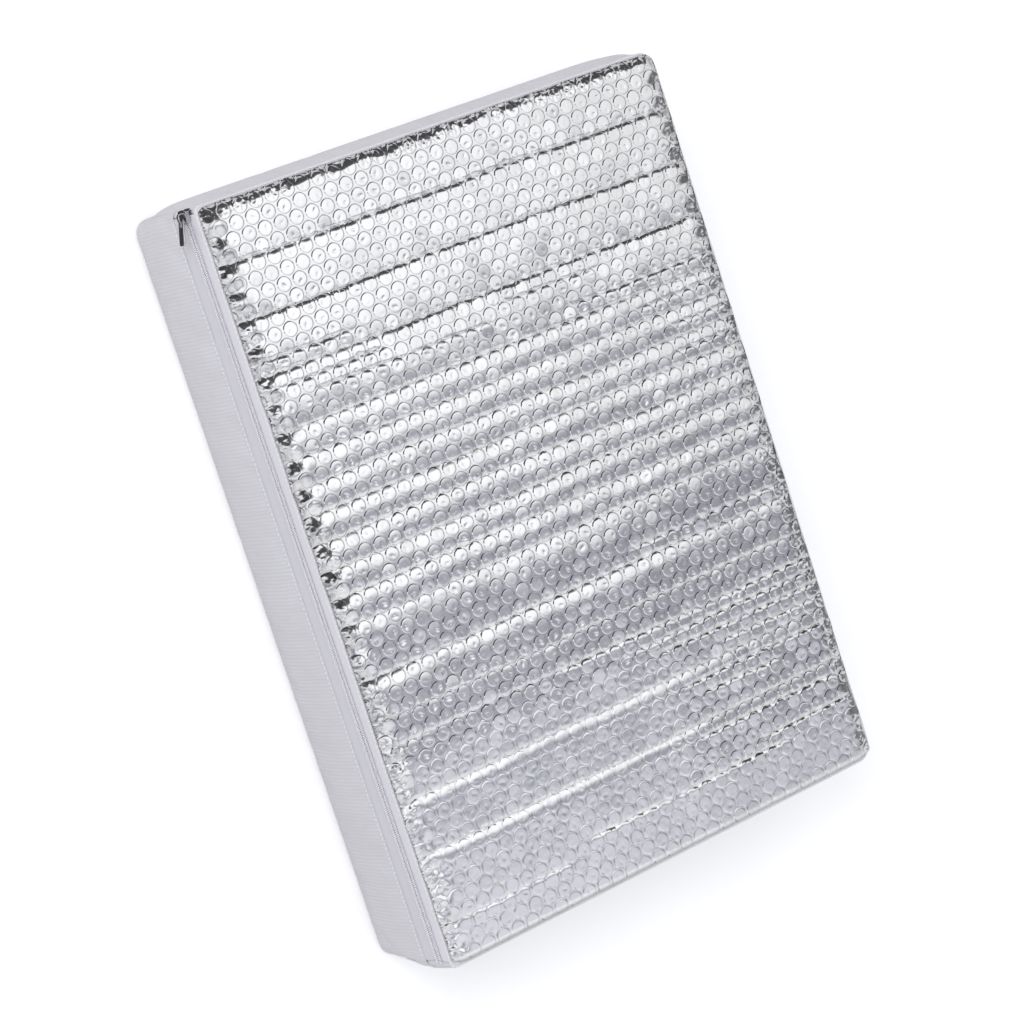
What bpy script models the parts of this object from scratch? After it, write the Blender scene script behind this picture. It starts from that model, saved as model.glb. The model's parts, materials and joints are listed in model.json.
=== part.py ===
"""Foil-faced foam pad in a zipped cover.

Units are metres, +Z is up. The origin is the centre of the underside. X is the width, Y the
length and Z the thickness. The foil face looks up. The zip runs along the -X side, and its
slider is parked at the +Y end.

Flat pieces that go round the pad are swept: a section in (inset, height) follows the plan
outline, where the inset is measured inwards from the pad's widest outline.
"""

import math

import bmesh
import bpy
from mathutils import Vector

MM = 0.001
GAP = 0.3 * MM

# Driving dimensions of the pad
WIDTH = 356 * MM
LENGTH = 502 * MM
THICKNESS = 96 * MM
ZIP_CORNER_RADIUS = 5 * MM
FAR_CORNER_RADIUS = 12 * MM
LEAST_RADIUS = 0.6 * MM
ARC_STEPS = 5

# Fabric cover
FABRIC = 0.8 * MM
SEAM_DROP = 5 * MM
SEAM_HEIGHT = THICKNESS - SEAM_DROP
BINDING_WIDTH = 2.2 * MM
BINDING_THICKNESS = 1.2 * MM
HEM_WIDTH = 3 * MM
THREAD_RADIUS = 0.3 * MM

# Foil face, from the top down: metallised film, air bubbles, backing film
FOIL = 0.4 * MM
BUBBLES = 2.6 * MM
BACKING = 0.4 * MM
FOIL_EDGE_INSET = BINDING_WIDTH + GAP
FOIL_SHOULDER_INSET = 4 * MM
FOIL_FLAT_INSET = 9 * MM
FOIL_SHOULDER_DROP = 1.6 * MM

# Zip: its centre line runs along Y on the -X side
ZIP_DROP = 19.6 * MM
ZIP_HEIGHT = THICKNESS - ZIP_DROP
ZIP_LENGTH = LENGTH - 9 * MM
TAPE_INSET = 2 * MM
TAPE = 0.6 * MM
COIL_WIDTH = 2.6 * MM
COIL_DEPTH = 1.6 * MM
COIL_PARTING = 1.5 * MM
PANEL_HEIGHT = THICKNESS - 35.4 * MM
TAPE_OVERLAP = 2 * MM

# Slider: its own axes are +X outwards, +Y back along the closed zip, +Z along the pad's +Z
SLIDER_LENGTH = 9 * MM
SLIDER_WIDTH = 10 * MM
SLIDER_CORNER = 2.4 * MM
SLIDER_PLATE = 1 * MM
SLIDER_FRONT_Y = LENGTH / 2 - 0.5 * MM
FLANGE_WIDTH = 1.1 * MM
POST_WIDTH = 0.9 * MM
POST_LENGTH = 1.6 * MM
BRIDGE_LENGTH = 6.4 * MM
BRIDGE_WIDTH = 2 * MM
BRIDGE_BAR = 1 * MM
BRIDGE_WINDOW = 2.4 * MM
HINGE_OFFSET = 0.9 * MM

# Pull tab: it hinges on its cross bar, under the slider's bridge
PULL_LENGTH = 16.6 * MM
PULL_WIDTH = 6.2 * MM
PULL_THICKNESS = 1.2 * MM
PULL_CORNER = 0.9 * MM
PULL_BAR = 1.3 * MM
EYE_LENGTH = 4.3 * MM
EYE_WIDTH = 2.7 * MM
PULL_REST_DEG = 17

FOAM_COLOUR = (0.80, 0.76, 0.62)
FABRIC_COLOUR = (0.62, 0.61, 0.64)
TAPE_COLOUR = (0.66, 0.65, 0.71)
THREAD_COLOUR = (0.72, 0.72, 0.75)
FOIL_COLOUR = (0.80, 0.80, 0.83)
BUBBLE_COLOUR = (0.86, 0.88, 0.90)
CHROME_COLOUR = (0.55, 0.56, 0.58)


def clear_scene():
    for old in list(bpy.data.objects):
        bpy.data.objects.remove(old, do_unlink=True)


def make_material(name, colour, roughness, metallic=0.0):
    material = bpy.data.materials.new(name)
    material.use_nodes = True
    shader = material.node_tree.nodes["Principled BSDF"]
    shader.inputs["Base Color"].default_value = (*colour, 1.0)
    shader.inputs["Roughness"].default_value = roughness
    shader.inputs["Metallic"].default_value = metallic
    return material


def add_object(name, data, material):
    data.materials.append(material)
    piece = bpy.data.objects.new(name, data)
    bpy.context.scene.collection.objects.link(piece)
    return piece


def add_bmesh(name, mesh, material):
    bmesh.ops.recalc_face_normals(mesh, faces=mesh.faces)
    data = bpy.data.meshes.new(name)
    mesh.to_mesh(data)
    mesh.free()
    return add_object(name, data, material)


def corner_arc(centre, radius, start_deg, steps=ARC_STEPS):
    """Points of a quarter circle, anticlockwise from start_deg."""
    points = []
    for step in range(steps + 1):
        angle = math.radians(start_deg + 90 * step / steps)
        points.append((centre[0] + radius * math.cos(angle), centre[1] + radius * math.sin(angle)))
    return points


def outline(inset, zip_inset=None):
    """The pad's plan, anticlockwise from the head end of the zip side's +Y corner."""
    left = -WIDTH / 2 + (inset if zip_inset is None else zip_inset)
    right = WIDTH / 2 - inset
    half_length = LENGTH / 2 - inset
    zip_radius = max(ZIP_CORNER_RADIUS - inset, LEAST_RADIUS)
    far_radius = max(FAR_CORNER_RADIUS - inset, LEAST_RADIUS)
    points = corner_arc((left + zip_radius, half_length - zip_radius), zip_radius, 90)
    points += corner_arc((left + zip_radius, zip_radius - half_length), zip_radius, 180)
    points += corner_arc((right - far_radius, far_radius - half_length), far_radius, 270)
    points += corner_arc((right - far_radius, half_length - far_radius), far_radius, 0)
    return points


def zip_side_path(inset):
    """The -X side with both of its corners."""
    return outline(inset)[: 2 * (ARC_STEPS + 1)]


def band_path(inset):
    """The other three sides, from one zip-side corner seam round to the other."""
    points = outline(inset)
    seam_x = -WIDTH / 2 + ZIP_CORNER_RADIUS + GAP
    foot = (seam_x, points[2 * (ARC_STEPS + 1)][1])
    head = (seam_x, points[-1][1])
    return [foot, *points[2 * (ARC_STEPS + 1) :], head]


def zip_line_path(inset):
    """The straight line of the zip, between its two ends."""
    x = -WIDTH / 2 + inset
    return [(x, ZIP_LENGTH / 2), (x, -ZIP_LENGTH / 2)]


def sweep(name, path, section, material, closed=False):
    """A solid with one section, a ring of (inset, height), all along a plan path."""
    mesh = bmesh.new()
    loops = []
    for inset, height in section:
        loops.append([mesh.verts.new((x, y, height)) for x, y in path(inset)])
    count = len(loops[0])
    for index, loop in enumerate(loops):
        following = loops[(index + 1) % len(loops)]
        for at in range(count if closed else count - 1):
            after = (at + 1) % count
            mesh.faces.new((loop[at], loop[after], following[after], following[at]))
    if not closed:
        mesh.faces.new([loop[0] for loop in loops])
        mesh.faces.new([loop[-1] for loop in loops])
    return add_bmesh(name, mesh, material)


def rectangle(inset, low, depth, height):
    """A section whose outer face is at inset and whose lower face is at low."""
    return [(inset, low), (inset, low + height), (inset + depth, low + height), (inset + depth, low)]


def stacked_rings(mesh, levels):
    """Plan outlines one above another, with quads between them."""
    rings = []
    for inset, zip_inset, height in levels:
        rings.append([mesh.verts.new((x, y, height)) for x, y in outline(inset, zip_inset)])
    for lower, upper in zip(rings, rings[1:]):
        for at in range(len(lower)):
            after = (at + 1) % len(lower)
            mesh.faces.new((lower[at], lower[after], upper[after], upper[at]))
    return rings


def slab(name, levels, material):
    """A closed block from outlines at levels of (inset, zip side's inset, height)."""
    mesh = bmesh.new()
    rings = stacked_rings(mesh, levels)
    mesh.faces.new(rings[0])
    mesh.faces.new(rings[-1])
    return add_bmesh(name, mesh, material)


def thread(name, points, material, closed=False):
    """A row of stitching as one round thread through points."""
    curve = bpy.data.curves.new(name, "CURVE")
    curve.dimensions = "3D"
    curve.bevel_depth = THREAD_RADIUS
    curve.bevel_resolution = 1
    curve.use_fill_caps = not closed
    spline = curve.splines.new("POLY")
    spline.points.add(len(points) - 1)
    for point, place in zip(spline.points, points):
        point.co = (*place, 1.0)
    spline.use_cyclic_u = closed
    return add_object(name, curve, material)


def rounded_plate(name, length, width, corner, low_x, high_x, material, centre_y=0.0):
    """A flat plate in the Y-Z plane with round corners, between two values of X."""
    reach_y = length / 2 - corner
    reach_z = width / 2 - corner
    points = []
    for y_sign, z_sign, start in ((1, 1, 0), (-1, 1, 90), (-1, -1, 180), (1, -1, 270)):
        centre = (centre_y + y_sign * reach_y, z_sign * reach_z)
        points += corner_arc(centre, corner, start, 3)
    mesh = bmesh.new()
    face = mesh.faces.new([mesh.verts.new((low_x, y, z)) for y, z in points])
    grown = bmesh.ops.extrude_face_region(mesh, geom=[face])
    moved = [item for item in grown["geom"] if isinstance(item, bmesh.types.BMVert)]
    bmesh.ops.translate(mesh, verts=moved, vec=Vector((high_x - low_x, 0, 0)))
    return add_bmesh(name, mesh, material)


def box(name, low, high, material):
    """A plain block between two corners."""
    mesh = bmesh.new()
    bmesh.ops.create_cube(mesh, size=1.0)
    size = Vector(high) - Vector(low)
    bmesh.ops.scale(mesh, verts=mesh.verts, vec=size)
    bmesh.ops.translate(mesh, verts=mesh.verts, vec=(Vector(high) + Vector(low)) / 2)
    return add_bmesh(name, mesh, material)


def combine(base, other, operation):
    """Joins or cuts base with other, which stays in the scene as a guide."""
    other.hide_render = True
    other.display_type = "WIRE"
    modifier = base.modifiers.new(other.name, "BOOLEAN")
    modifier.operation = operation
    modifier.solver = "EXACT"
    modifier.object = other


def make_foam_core(material):
    """The foam block, its top edges eased and its zip side set back behind the slider."""
    low = FABRIC + 2 * GAP
    top = THICKNESS - FOIL - BUBBLES - BACKING - 3 * GAP
    side = 2.2 * MM
    zip_side = 4.4 * MM
    easing = 3.8 * MM
    levels = [
        (side + easing / 2, zip_side + easing / 2, low),
        (side, zip_side, low + easing / 2),
        (side, zip_side, top - easing),
        (side + easing, zip_side + easing, top),
    ]
    slab("foam_core", levels, material)


def make_foil_face(film, bubbles, backing):
    """The laminate of the face: a film tray turned down at its edge, over bubbles and backing."""
    mesh = bmesh.new()
    edge = SEAM_HEIGHT + GAP
    shoulder = THICKNESS - FOIL_SHOULDER_DROP
    levels = [
        (FOIL_EDGE_INSET, FOIL_EDGE_INSET, edge),
        (FOIL_SHOULDER_INSET, FOIL_SHOULDER_INSET, shoulder),
        (FOIL_FLAT_INSET, FOIL_FLAT_INSET, THICKNESS),
    ]
    rings = stacked_rings(mesh, levels)
    mesh.faces.new(rings[-1])
    bmesh.ops.recalc_face_normals(mesh, faces=mesh.faces)
    if sum(face.normal.z for face in mesh.faces) < 0:
        bmesh.ops.reverse_faces(mesh, faces=mesh.faces)
    data = bpy.data.meshes.new("foil_film")
    mesh.to_mesh(data)
    mesh.free()
    foil = add_object("foil_film", data, film)
    skin = foil.modifiers.new("thickness", "SOLIDIFY")
    skin.thickness = FOIL
    skin.offset = -1
    bubbles_top = THICKNESS - FOIL - GAP
    bubbles_low = bubbles_top - BUBBLES
    inset = FOIL_FLAT_INSET + FOIL
    slab("bubble_sheet", [(inset, inset, bubbles_low), (inset, inset, bubbles_top)], bubbles)
    backing_top = bubbles_low - GAP
    inset = FOIL_SHOULDER_INSET + 1 * MM
    levels = [(inset, inset, backing_top - BACKING), (inset, inset, backing_top)]
    slab("backing_film", levels, backing)


def make_cover(fabric, binding):
    """Underside, zip-side panel with its hem, the band round the other sides, the edge tape."""
    slab("back_panel", [(0, 0, 0), (0, 0, FABRIC)], fabric)
    low = FABRIC + GAP
    wall_top = SEAM_HEIGHT - BINDING_THICKNESS - GAP
    hem = TAPE_INSET - GAP
    section = [
        (0, low),
        (0, PANEL_HEIGHT),
        (hem, PANEL_HEIGHT),
        (hem, PANEL_HEIGHT - HEM_WIDTH),
        (FABRIC, PANEL_HEIGHT - HEM_WIDTH),
        (FABRIC, low),
    ]
    sweep("zip_side_panel", zip_side_path, section, fabric)
    sweep("side_band", band_path, rectangle(0, low, FABRIC, wall_top - low), fabric)
    ring = rectangle(0, SEAM_HEIGHT - BINDING_THICKNESS, BINDING_WIDTH, BINDING_THICKNESS)
    sweep("edge_binding", outline, ring, binding, closed=True)


def make_zip(tape, coil):
    """Two tapes and two coils along the zip's centre line, parted by the slider's post."""
    parting = COIL_PARTING / 2
    lower_edge = PANEL_HEIGHT - TAPE_OVERLAP
    upper_edge = SEAM_HEIGHT - BINDING_THICKNESS - GAP
    coil_inset = TAPE_INSET - GAP - COIL_DEPTH
    sides = (
        ("lower", lower_edge, ZIP_HEIGHT - parting, ZIP_HEIGHT - parting - COIL_WIDTH),
        ("upper", ZIP_HEIGHT + parting, upper_edge, ZIP_HEIGHT + parting),
    )
    for side, low, high, coil_low in sides:
        strip = rectangle(TAPE_INSET, low, TAPE, high - low)
        sweep("zip_tape_" + side, zip_line_path, strip, tape)
        bar = rectangle(coil_inset, coil_low, COIL_DEPTH, COIL_WIDTH)
        sweep("zip_coil_" + side, zip_line_path, bar, coil)


def make_stitching(material):
    """Every row of lock stitch that holds the cover together."""
    lift = GAP + THREAD_RADIUS
    inside = FABRIC + lift
    reach = ZIP_LENGTH / 2 - 2 * MM

    height = SEAM_HEIGHT + lift
    ring = [(x, y, height) for x, y in outline(BINDING_WIDTH - 0.8 * MM)]
    thread("binding_stitch", ring, material, closed=True)

    height = FABRIC + lift
    ring = [(x, y, height) for x, y in outline(inside)]
    thread("back_seam_stitch", ring, material, closed=True)

    seam_x = -WIDTH / 2 + ZIP_CORNER_RADIUS + GAP + lift
    seam_y = LENGTH / 2 - inside
    low = FABRIC + 2.5 * MM
    high = SEAM_HEIGHT - BINDING_THICKNESS - 2 * MM
    thread("corner_stitch_head", [(seam_x, seam_y, low), (seam_x, seam_y, high)], material)
    thread("corner_stitch_foot", [(seam_x, -seam_y, low), (seam_x, -seam_y, high)], material)

    x = -WIDTH / 2 - lift
    height = PANEL_HEIGHT - HEM_WIDTH / 2
    thread("zip_stitch_lower", [(x, reach, height), (x, -reach, height)], material)

    x = -WIDTH / 2 + TAPE_INSET - lift
    height = SEAM_HEIGHT - BINDING_THICKNESS - 2.5 * MM
    thread("zip_stitch_upper", [(x, reach, height), (x, -reach, height)], material)


def make_slider(material):
    """Slider body: two plates joined by a post between the coils, side flanges and a bridge.

    X is measured outwards from the tape's outer face.
    """
    plate_low = GAP + COIL_DEPTH + GAP
    plate_high = plate_low + SLIDER_PLATE
    back_high = -TAPE - GAP
    back_low = back_high - SLIDER_PLATE
    bite = SLIDER_PLATE / 2

    carrier = bpy.data.objects.new("slider_carrier", None)
    bpy.context.scene.collection.objects.link(carrier)
    centre_y = SLIDER_FRONT_Y - SLIDER_LENGTH / 2
    carrier.location = (-WIDTH / 2 + TAPE_INSET, centre_y, ZIP_HEIGHT)
    carrier.rotation_euler = (0, 0, math.pi)

    size = (SLIDER_LENGTH, SLIDER_WIDTH, SLIDER_CORNER)
    body = rounded_plate("slider_body", *size, plate_low, plate_high, material)
    back = rounded_plate("back_plate_guide", *size, back_low, back_high, material)
    parts = [back]

    reach = SLIDER_LENGTH / 2 - SLIDER_CORNER / 2
    for name, sign in (("upper", 1), ("lower", -1)):
        inner = sign * (SLIDER_WIDTH / 2 - FLANGE_WIDTH)
        outer = sign * SLIDER_WIDTH / 2
        low = (GAP, -reach, min(inner, outer))
        high = (plate_low + bite, reach, max(inner, outer))
        parts.append(box(name + "_flange_guide", low, high, material))

    post_y = SLIDER_CORNER / 2 - SLIDER_LENGTH / 2
    low = (back_low + bite, post_y, -POST_WIDTH / 2)
    high = (plate_low + bite, post_y + POST_LENGTH, POST_WIDTH / 2)
    parts.append(box("post_guide", low, high, material))

    bridge_high = plate_high + BRIDGE_WINDOW + BRIDGE_BAR
    half = BRIDGE_LENGTH / 2
    low = (plate_high - bite, -half, -BRIDGE_WIDTH / 2)
    high = (bridge_high, half, BRIDGE_WIDTH / 2)
    bridge = box("bridge_guide", low, high, material)
    low = (plate_high, BRIDGE_BAR - half, -BRIDGE_WIDTH)
    high = (plate_high + BRIDGE_WINDOW, half - BRIDGE_BAR, BRIDGE_WIDTH)
    window = box("window_cutter", low, high, material)
    parts.append(bridge)

    for part in parts:
        combine(body, part, "UNION")
    combine(body, window, "DIFFERENCE")
    for item in (body, window, *parts):
        item.parent = carrier
    return carrier, plate_high


def make_pull(carrier, plate_high, material):
    """Pull tab with an eye round the bridge. Its origin is on the hinge axis, along Z."""
    half = PULL_THICKNESS / 2
    centre_y = PULL_LENGTH / 2 - PULL_BAR / 2
    size = (PULL_LENGTH, PULL_WIDTH, PULL_CORNER)
    pull = rounded_plate("pull_tab", *size, -half, half, material, centre_y)
    low = (-PULL_THICKNESS, PULL_BAR / 2, -EYE_WIDTH / 2)
    high = (PULL_THICKNESS, PULL_BAR / 2 + EYE_LENGTH, EYE_WIDTH / 2)
    eye = box("eye_cutter", low, high, material)
    combine(pull, eye, "DIFFERENCE")
    for item in (pull, eye):
        item.parent = carrier
        item.location = (plate_high + BRIDGE_WINDOW / 2, HINGE_OFFSET, 0)
        item.rotation_euler = (0, 0, -math.radians(PULL_REST_DEG))


def main():
    clear_scene()
    fabric = make_material("cover_fabric", FABRIC_COLOUR, 0.9)
    tape = make_material("zip_tape", TAPE_COLOUR, 0.8)
    cord = make_material("thread", THREAD_COLOUR, 0.7)
    coil = make_material("zip_coil", TAPE_COLOUR, 0.45)
    film = make_material("foil", FOIL_COLOUR, 0.15, 1.0)
    clear_film = make_material("bubble_film", BUBBLE_COLOUR, 0.3)
    chrome = make_material("chrome", CHROME_COLOUR, 0.12, 1.0)
    foam = make_material("foam", FOAM_COLOUR, 1.0)

    make_foam_core(foam)
    make_foil_face(film, clear_film, clear_film)
    make_cover(fabric, tape)
    make_zip(tape, coil)
    make_stitching(cord)
    carrier, plate_high = make_slider(chrome)
    make_pull(carrier, plate_high, chrome)


main()
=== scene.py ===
"""Looks of the foil-faced foam pad in its zipped cover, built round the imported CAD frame.

Units are metres in the frame of the CAD: X is the width with the zip side at -X, Y the length
with the slider's end at +Y, Z the thickness with the foil face up.
"""

import json
import math

import bpy
import numpy as np
from mathutils import Matrix, Vector


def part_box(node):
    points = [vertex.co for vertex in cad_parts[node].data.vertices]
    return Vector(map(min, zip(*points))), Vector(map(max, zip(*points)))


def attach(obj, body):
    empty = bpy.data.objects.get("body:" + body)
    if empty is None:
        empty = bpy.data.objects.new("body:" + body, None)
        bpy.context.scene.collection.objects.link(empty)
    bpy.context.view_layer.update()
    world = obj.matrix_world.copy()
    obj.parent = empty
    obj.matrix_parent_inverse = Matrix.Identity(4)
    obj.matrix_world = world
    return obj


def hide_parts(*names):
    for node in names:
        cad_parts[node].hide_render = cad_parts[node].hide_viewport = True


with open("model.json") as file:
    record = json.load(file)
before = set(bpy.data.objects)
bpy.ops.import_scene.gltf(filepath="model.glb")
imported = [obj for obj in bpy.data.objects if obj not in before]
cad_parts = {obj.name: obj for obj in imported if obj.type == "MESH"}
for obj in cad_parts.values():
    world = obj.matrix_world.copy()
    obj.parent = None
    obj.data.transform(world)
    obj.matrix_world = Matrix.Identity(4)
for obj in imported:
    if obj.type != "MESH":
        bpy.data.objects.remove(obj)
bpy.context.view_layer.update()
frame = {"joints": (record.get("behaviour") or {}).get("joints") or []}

MM = 0.001
SEED = 7

# The pad's plan: the widest outline of the cover, from the CAD
PLAN_LOW, PLAN_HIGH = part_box("back_panel")
HALF_WIDTH = (PLAN_HIGH.x - PLAN_LOW.x) / 2
HALF_LENGTH = (PLAN_HIGH.y - PLAN_LOW.y) / 2
ZIP_CORNER = 5 * MM
FAR_CORNER = 12 * MM
ARC_PARTS = 8
STEP = 4 * MM

# Cover: where its walls start and end, and how they stand before they are puffed
SEAM_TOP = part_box("edge_binding")[1].z
HEM_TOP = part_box("zip_side_panel")[1].z
HEM_WIDTH = 3 * MM
FABRIC = 0.8 * MM
WALL_LOW = 2.0 * MM
WALL_HIGH = SEAM_TOP - 0.5 * MM
WALL_SIDE_INSET = 0.2 * MM
WALL_TOP_INSET = 1.6 * MM
WALL_LOW_INSET = 0.8 * MM
BULGE = 2.0 * MM
BACK_CORNER = 11 * MM
HEAD_EASE = 26 * MM
FOOT_EASE = 8 * MM
FOOT_PLEAT = 1.6
FOOT_PLEAT_REACH = 70 * MM

# Foil face: bubbles in offset rows, counted from the head (+Y) end
FOIL_LOW, FOIL_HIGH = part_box("foil_film")
PITCH = 11.5 * MM
ROW = 9.0 * MM
FIRST_ROW = 0.95
CREASE_PHASE = 0.45
BUBBLE_RISE = 0.42 * MM
AROUND = 24
RING_RADII = (0.8, 1.9, 3.0, 3.9, 4.45, 4.72, 5.02)
RING_RISE = (1.0, 1.0, 0.99, 0.98, 0.95, 0.55, 0.0)
CRISP_EDGE_DEG = 18
AIR_DROP = 1.3 * MM
BACKING_DROP = 2.1 * MM
# Painted shade on the film from a bubble's middle out to its cell's border: dark arcs on the rims,
# dark discs in the crushed bands by the seams
RIM_PAINTED_SHADE = (0.0, 0.0, 0.0, 0.0, 0.0, 0.6, 1.0, 0.7, 0.0)
DISC_PAINTED_SHADE = (1.0, 1.0, 1.0, 0.95, 0.8, 0.25, 0.05, 0.3, 0.7)
ZIP_BAND = 11 * MM
FAR_BAND = 8 * MM


# ------------------------------------------------------------------ mesh helpers


def make_piece(name, points, faces, body, stands_for=(), uvs=None):
    """A smooth mesh piece from points and faces, riding on a CAD body."""
    data = bpy.data.meshes.new(name)
    data.from_pydata([tuple(p) for p in points], [], [tuple(f) for f in faces])
    if uvs is not None:
        layer = data.uv_layers.new(name="cloth")
        index = np.zeros(len(data.loops), np.int32)
        data.loops.foreach_get("vertex_index", index)
        layer.data.foreach_set("uv", np.asarray(uvs, np.float32)[index].ravel())
    data.shade_smooth()
    return register(name, data, body, stands_for)


def cover_piece(name, node, points, faces, uvs):
    """A cloth piece that rides on the cover and stands for one CAD node."""
    return make_piece(name, points, faces, "cover", [node], uvs)


def register(name, data, body, stands_for=()):
    """Links an object for a finished mesh, ties it to its body and hides the CAD nodes it stands
    for.
    """
    piece = bpy.data.objects.new(name, data)
    bpy.context.scene.collection.objects.link(piece)
    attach(piece, body)
    if stands_for:
        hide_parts(*stands_for)
    return piece


def smoothstep(low, high, value):
    """0 below low, 1 above high, and a smooth rise between."""
    t = np.clip((value - low) / (high - low), 0, 1)
    return t * t * (3 - 2 * t)


def waves(x, y, scale, seed, octaves=4):
    """Smooth noise between about -1 and 1, as a sum of plane waves of seeded directions."""
    draw = np.random.default_rng(seed)
    total = np.zeros_like(x)
    for _ in range(octaves * 4):
        angle = draw.uniform(0, 2 * math.pi)
        length = scale * draw.uniform(0.6, 1.7)
        phase = draw.uniform(0, 2 * math.pi)
        total += np.sin((x * math.cos(angle) + y * math.sin(angle)) * 2 * math.pi / length + phase)
    return total / math.sqrt(octaves * 8)


def superellipse(count, half_a, half_b, power, phase=0.5):
    """A rounded outline with flat sides; half_b may be a function of the first coordinate."""
    points = []
    for part in range(count):
        angle = 2 * math.pi * (part + phase) / count
        c, s = math.cos(angle), math.sin(angle)
        a = half_a * math.copysign(abs(c) ** power, c)
        reach = half_b(a) if callable(half_b) else half_b
        points.append((a, reach * math.copysign(abs(s) ** power, s)))
    return points


def grid_faces(rows, across, closed=False):
    """Quads between rows of points that follow one another, open or closed round each row."""
    faces = []
    for row in range(rows - 1):
        for at in range(across if closed else across - 1):
            low, after = row * across, (at + 1) % across
            faces.append((low + at, low + after, low + across + after, low + across + at))
    return faces


# ------------------------------------------------------------------ plan outline


def corner_points(centre, radius, start_deg):
    """Points and outward normals along a quarter circle."""
    rows = []
    for part in range(ARC_PARTS + 1):
        angle = math.radians(start_deg + 90 * part / ARC_PARTS)
        away = (math.cos(angle), math.sin(angle))
        rows.append((centre[0] + radius * away[0], centre[1] + radius * away[1], *away))
    return rows


def straight_points(start, end, away):
    """Points between two ends, leaving both ends out."""
    count = round(math.dist(start, end) / STEP)
    rows = []
    for part in range(1, count):
        t = part / count
        rows.append((start[0] + (end[0] - start[0]) * t, start[1] + (end[1] - start[1]) * t, *away))
    return rows


def plan_outline():
    """The outline, anticlockwise from the head end of the zip side's +Y corner.

    Returns an array of x, y, outward normal and arc length, and each stretch's slice.
    """
    w, l = HALF_WIDTH, HALF_LENGTH
    z, f = ZIP_CORNER, FAR_CORNER
    stretches = (
        ("zip_head", corner_points((z - w, l - z), z, 90)),
        ("zip_side", straight_points((-w, l - z), (-w, z - l), (-1, 0))),
        ("zip_foot", corner_points((z - w, z - l), z, 180)),
        ("foot", straight_points((z - w, -l), (w - f, -l), (0, -1))),
        ("far_foot", corner_points((w - f, f - l), f, 270)),
        ("far", straight_points((w, f - l), (w, l - f), (1, 0))),
        ("far_head", corner_points((w - f, l - f), f, 0)),
        ("head", straight_points((w - f, l), (z - w, l), (0, 1))),
    )
    rows, where = [], {}
    for name, points in stretches:
        where[name] = (len(rows), len(rows) + len(points))
        rows += points
    plan = np.array(rows)
    steps = np.linalg.norm(np.diff(plan[:, :2], axis=0), axis=1)
    length = np.concatenate([[0], np.cumsum(steps)])
    return np.column_stack([plan, length]), where


PLAN, WHERE = plan_outline()


def bulge_shares():
    """How much of the walls' bulge each outline point takes.

    None along the zip, and most by the foot's zip corner, where the cover is pleated.
    """
    away = PLAN[:, 0] + HALF_WIDTH
    head = smoothstep(0, HEAD_EASE, away)
    pleat = 1 + FOOT_PLEAT * np.exp(-((away / FOOT_PLEAT_REACH) ** 2))
    foot = smoothstep(0, FOOT_EASE, away) * pleat
    return np.where(PLAN[:, 1] > 0, head, foot)


def wall_bulge(height):
    """How far a wall with a full share of the bulge stands out at a height."""
    return BULGE * np.sin(math.pi * height / SEAM_TOP)


BULGE_SHARES = bulge_shares()


def round_low_corners(points, clearance=0.0):
    """Rounds the two zip corners more and more towards the underside."""
    x, y, z = points.T
    radius = ZIP_CORNER + (BACK_CORNER - ZIP_CORNER) * (1 - smoothstep(0, HEM_TOP - 8 * MM, z))
    off_x = x - (radius - HALF_WIDTH)
    off_y = np.abs(y) - (HALF_LENGTH - radius)
    reach = np.hypot(off_x, off_y)
    kept = radius - clearance
    pull = np.where((off_x < 0) & (off_y > 0) & (reach > kept), kept / np.maximum(reach, 1e-9), 1)
    points[:, 0] += off_x * (pull - 1)
    points[:, 1] += np.sign(y) * off_y * (pull - 1)


def wall_inset(height):
    """How far the unpuffed wall stands inside the widest outline at a height."""
    t = height / SEAM_TOP
    edge = np.where(t < 0.5, WALL_LOW_INSET, WALL_TOP_INSET) - WALL_SIDE_INSET
    return WALL_SIDE_INSET + edge * (2 * t - 1) ** 4


def cloth_wall(columns, heights, lengths):
    """A wall of the cover before it is puffed: points, quads and cloth coordinates in metres."""
    points, uvs = [], []
    for height in heights:
        insets = wall_inset(height) - wall_bulge(height) * BULGE_SHARES[columns]
        for (x, y, away_x, away_y, _), inset, length in zip(PLAN[columns], insets, lengths):
            points.append((x - away_x * inset, y - away_y * inset, height))
            uvs.append((length, height))
    points = np.array(points)
    round_low_corners(points, WALL_SIDE_INSET)
    return points, grid_faces(len(heights), len(columns)), uvs


def ring_sweep(section, sway, lift):
    """A closed tube round the whole outline; section is a ring of (inset, height)."""
    points = []
    for inset, height in section:
        for (x, y, away_x, away_y, _), shift, rise in zip(PLAN, sway, lift):
            inward = inset + shift
            points.append((x - away_x * inward, y - away_y * inward, height + rise))
    faces = grid_faces(len(section) + 1, len(PLAN), closed=True)
    return np.array(points), [tuple(corner % len(points) for corner in quad) for quad in faces]


# ------------------------------------------------------------------ foil face


def row_line(rows):
    """Y of a place counted in rows from the head end."""
    return HALF_LENGTH - rows * ROW


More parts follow.
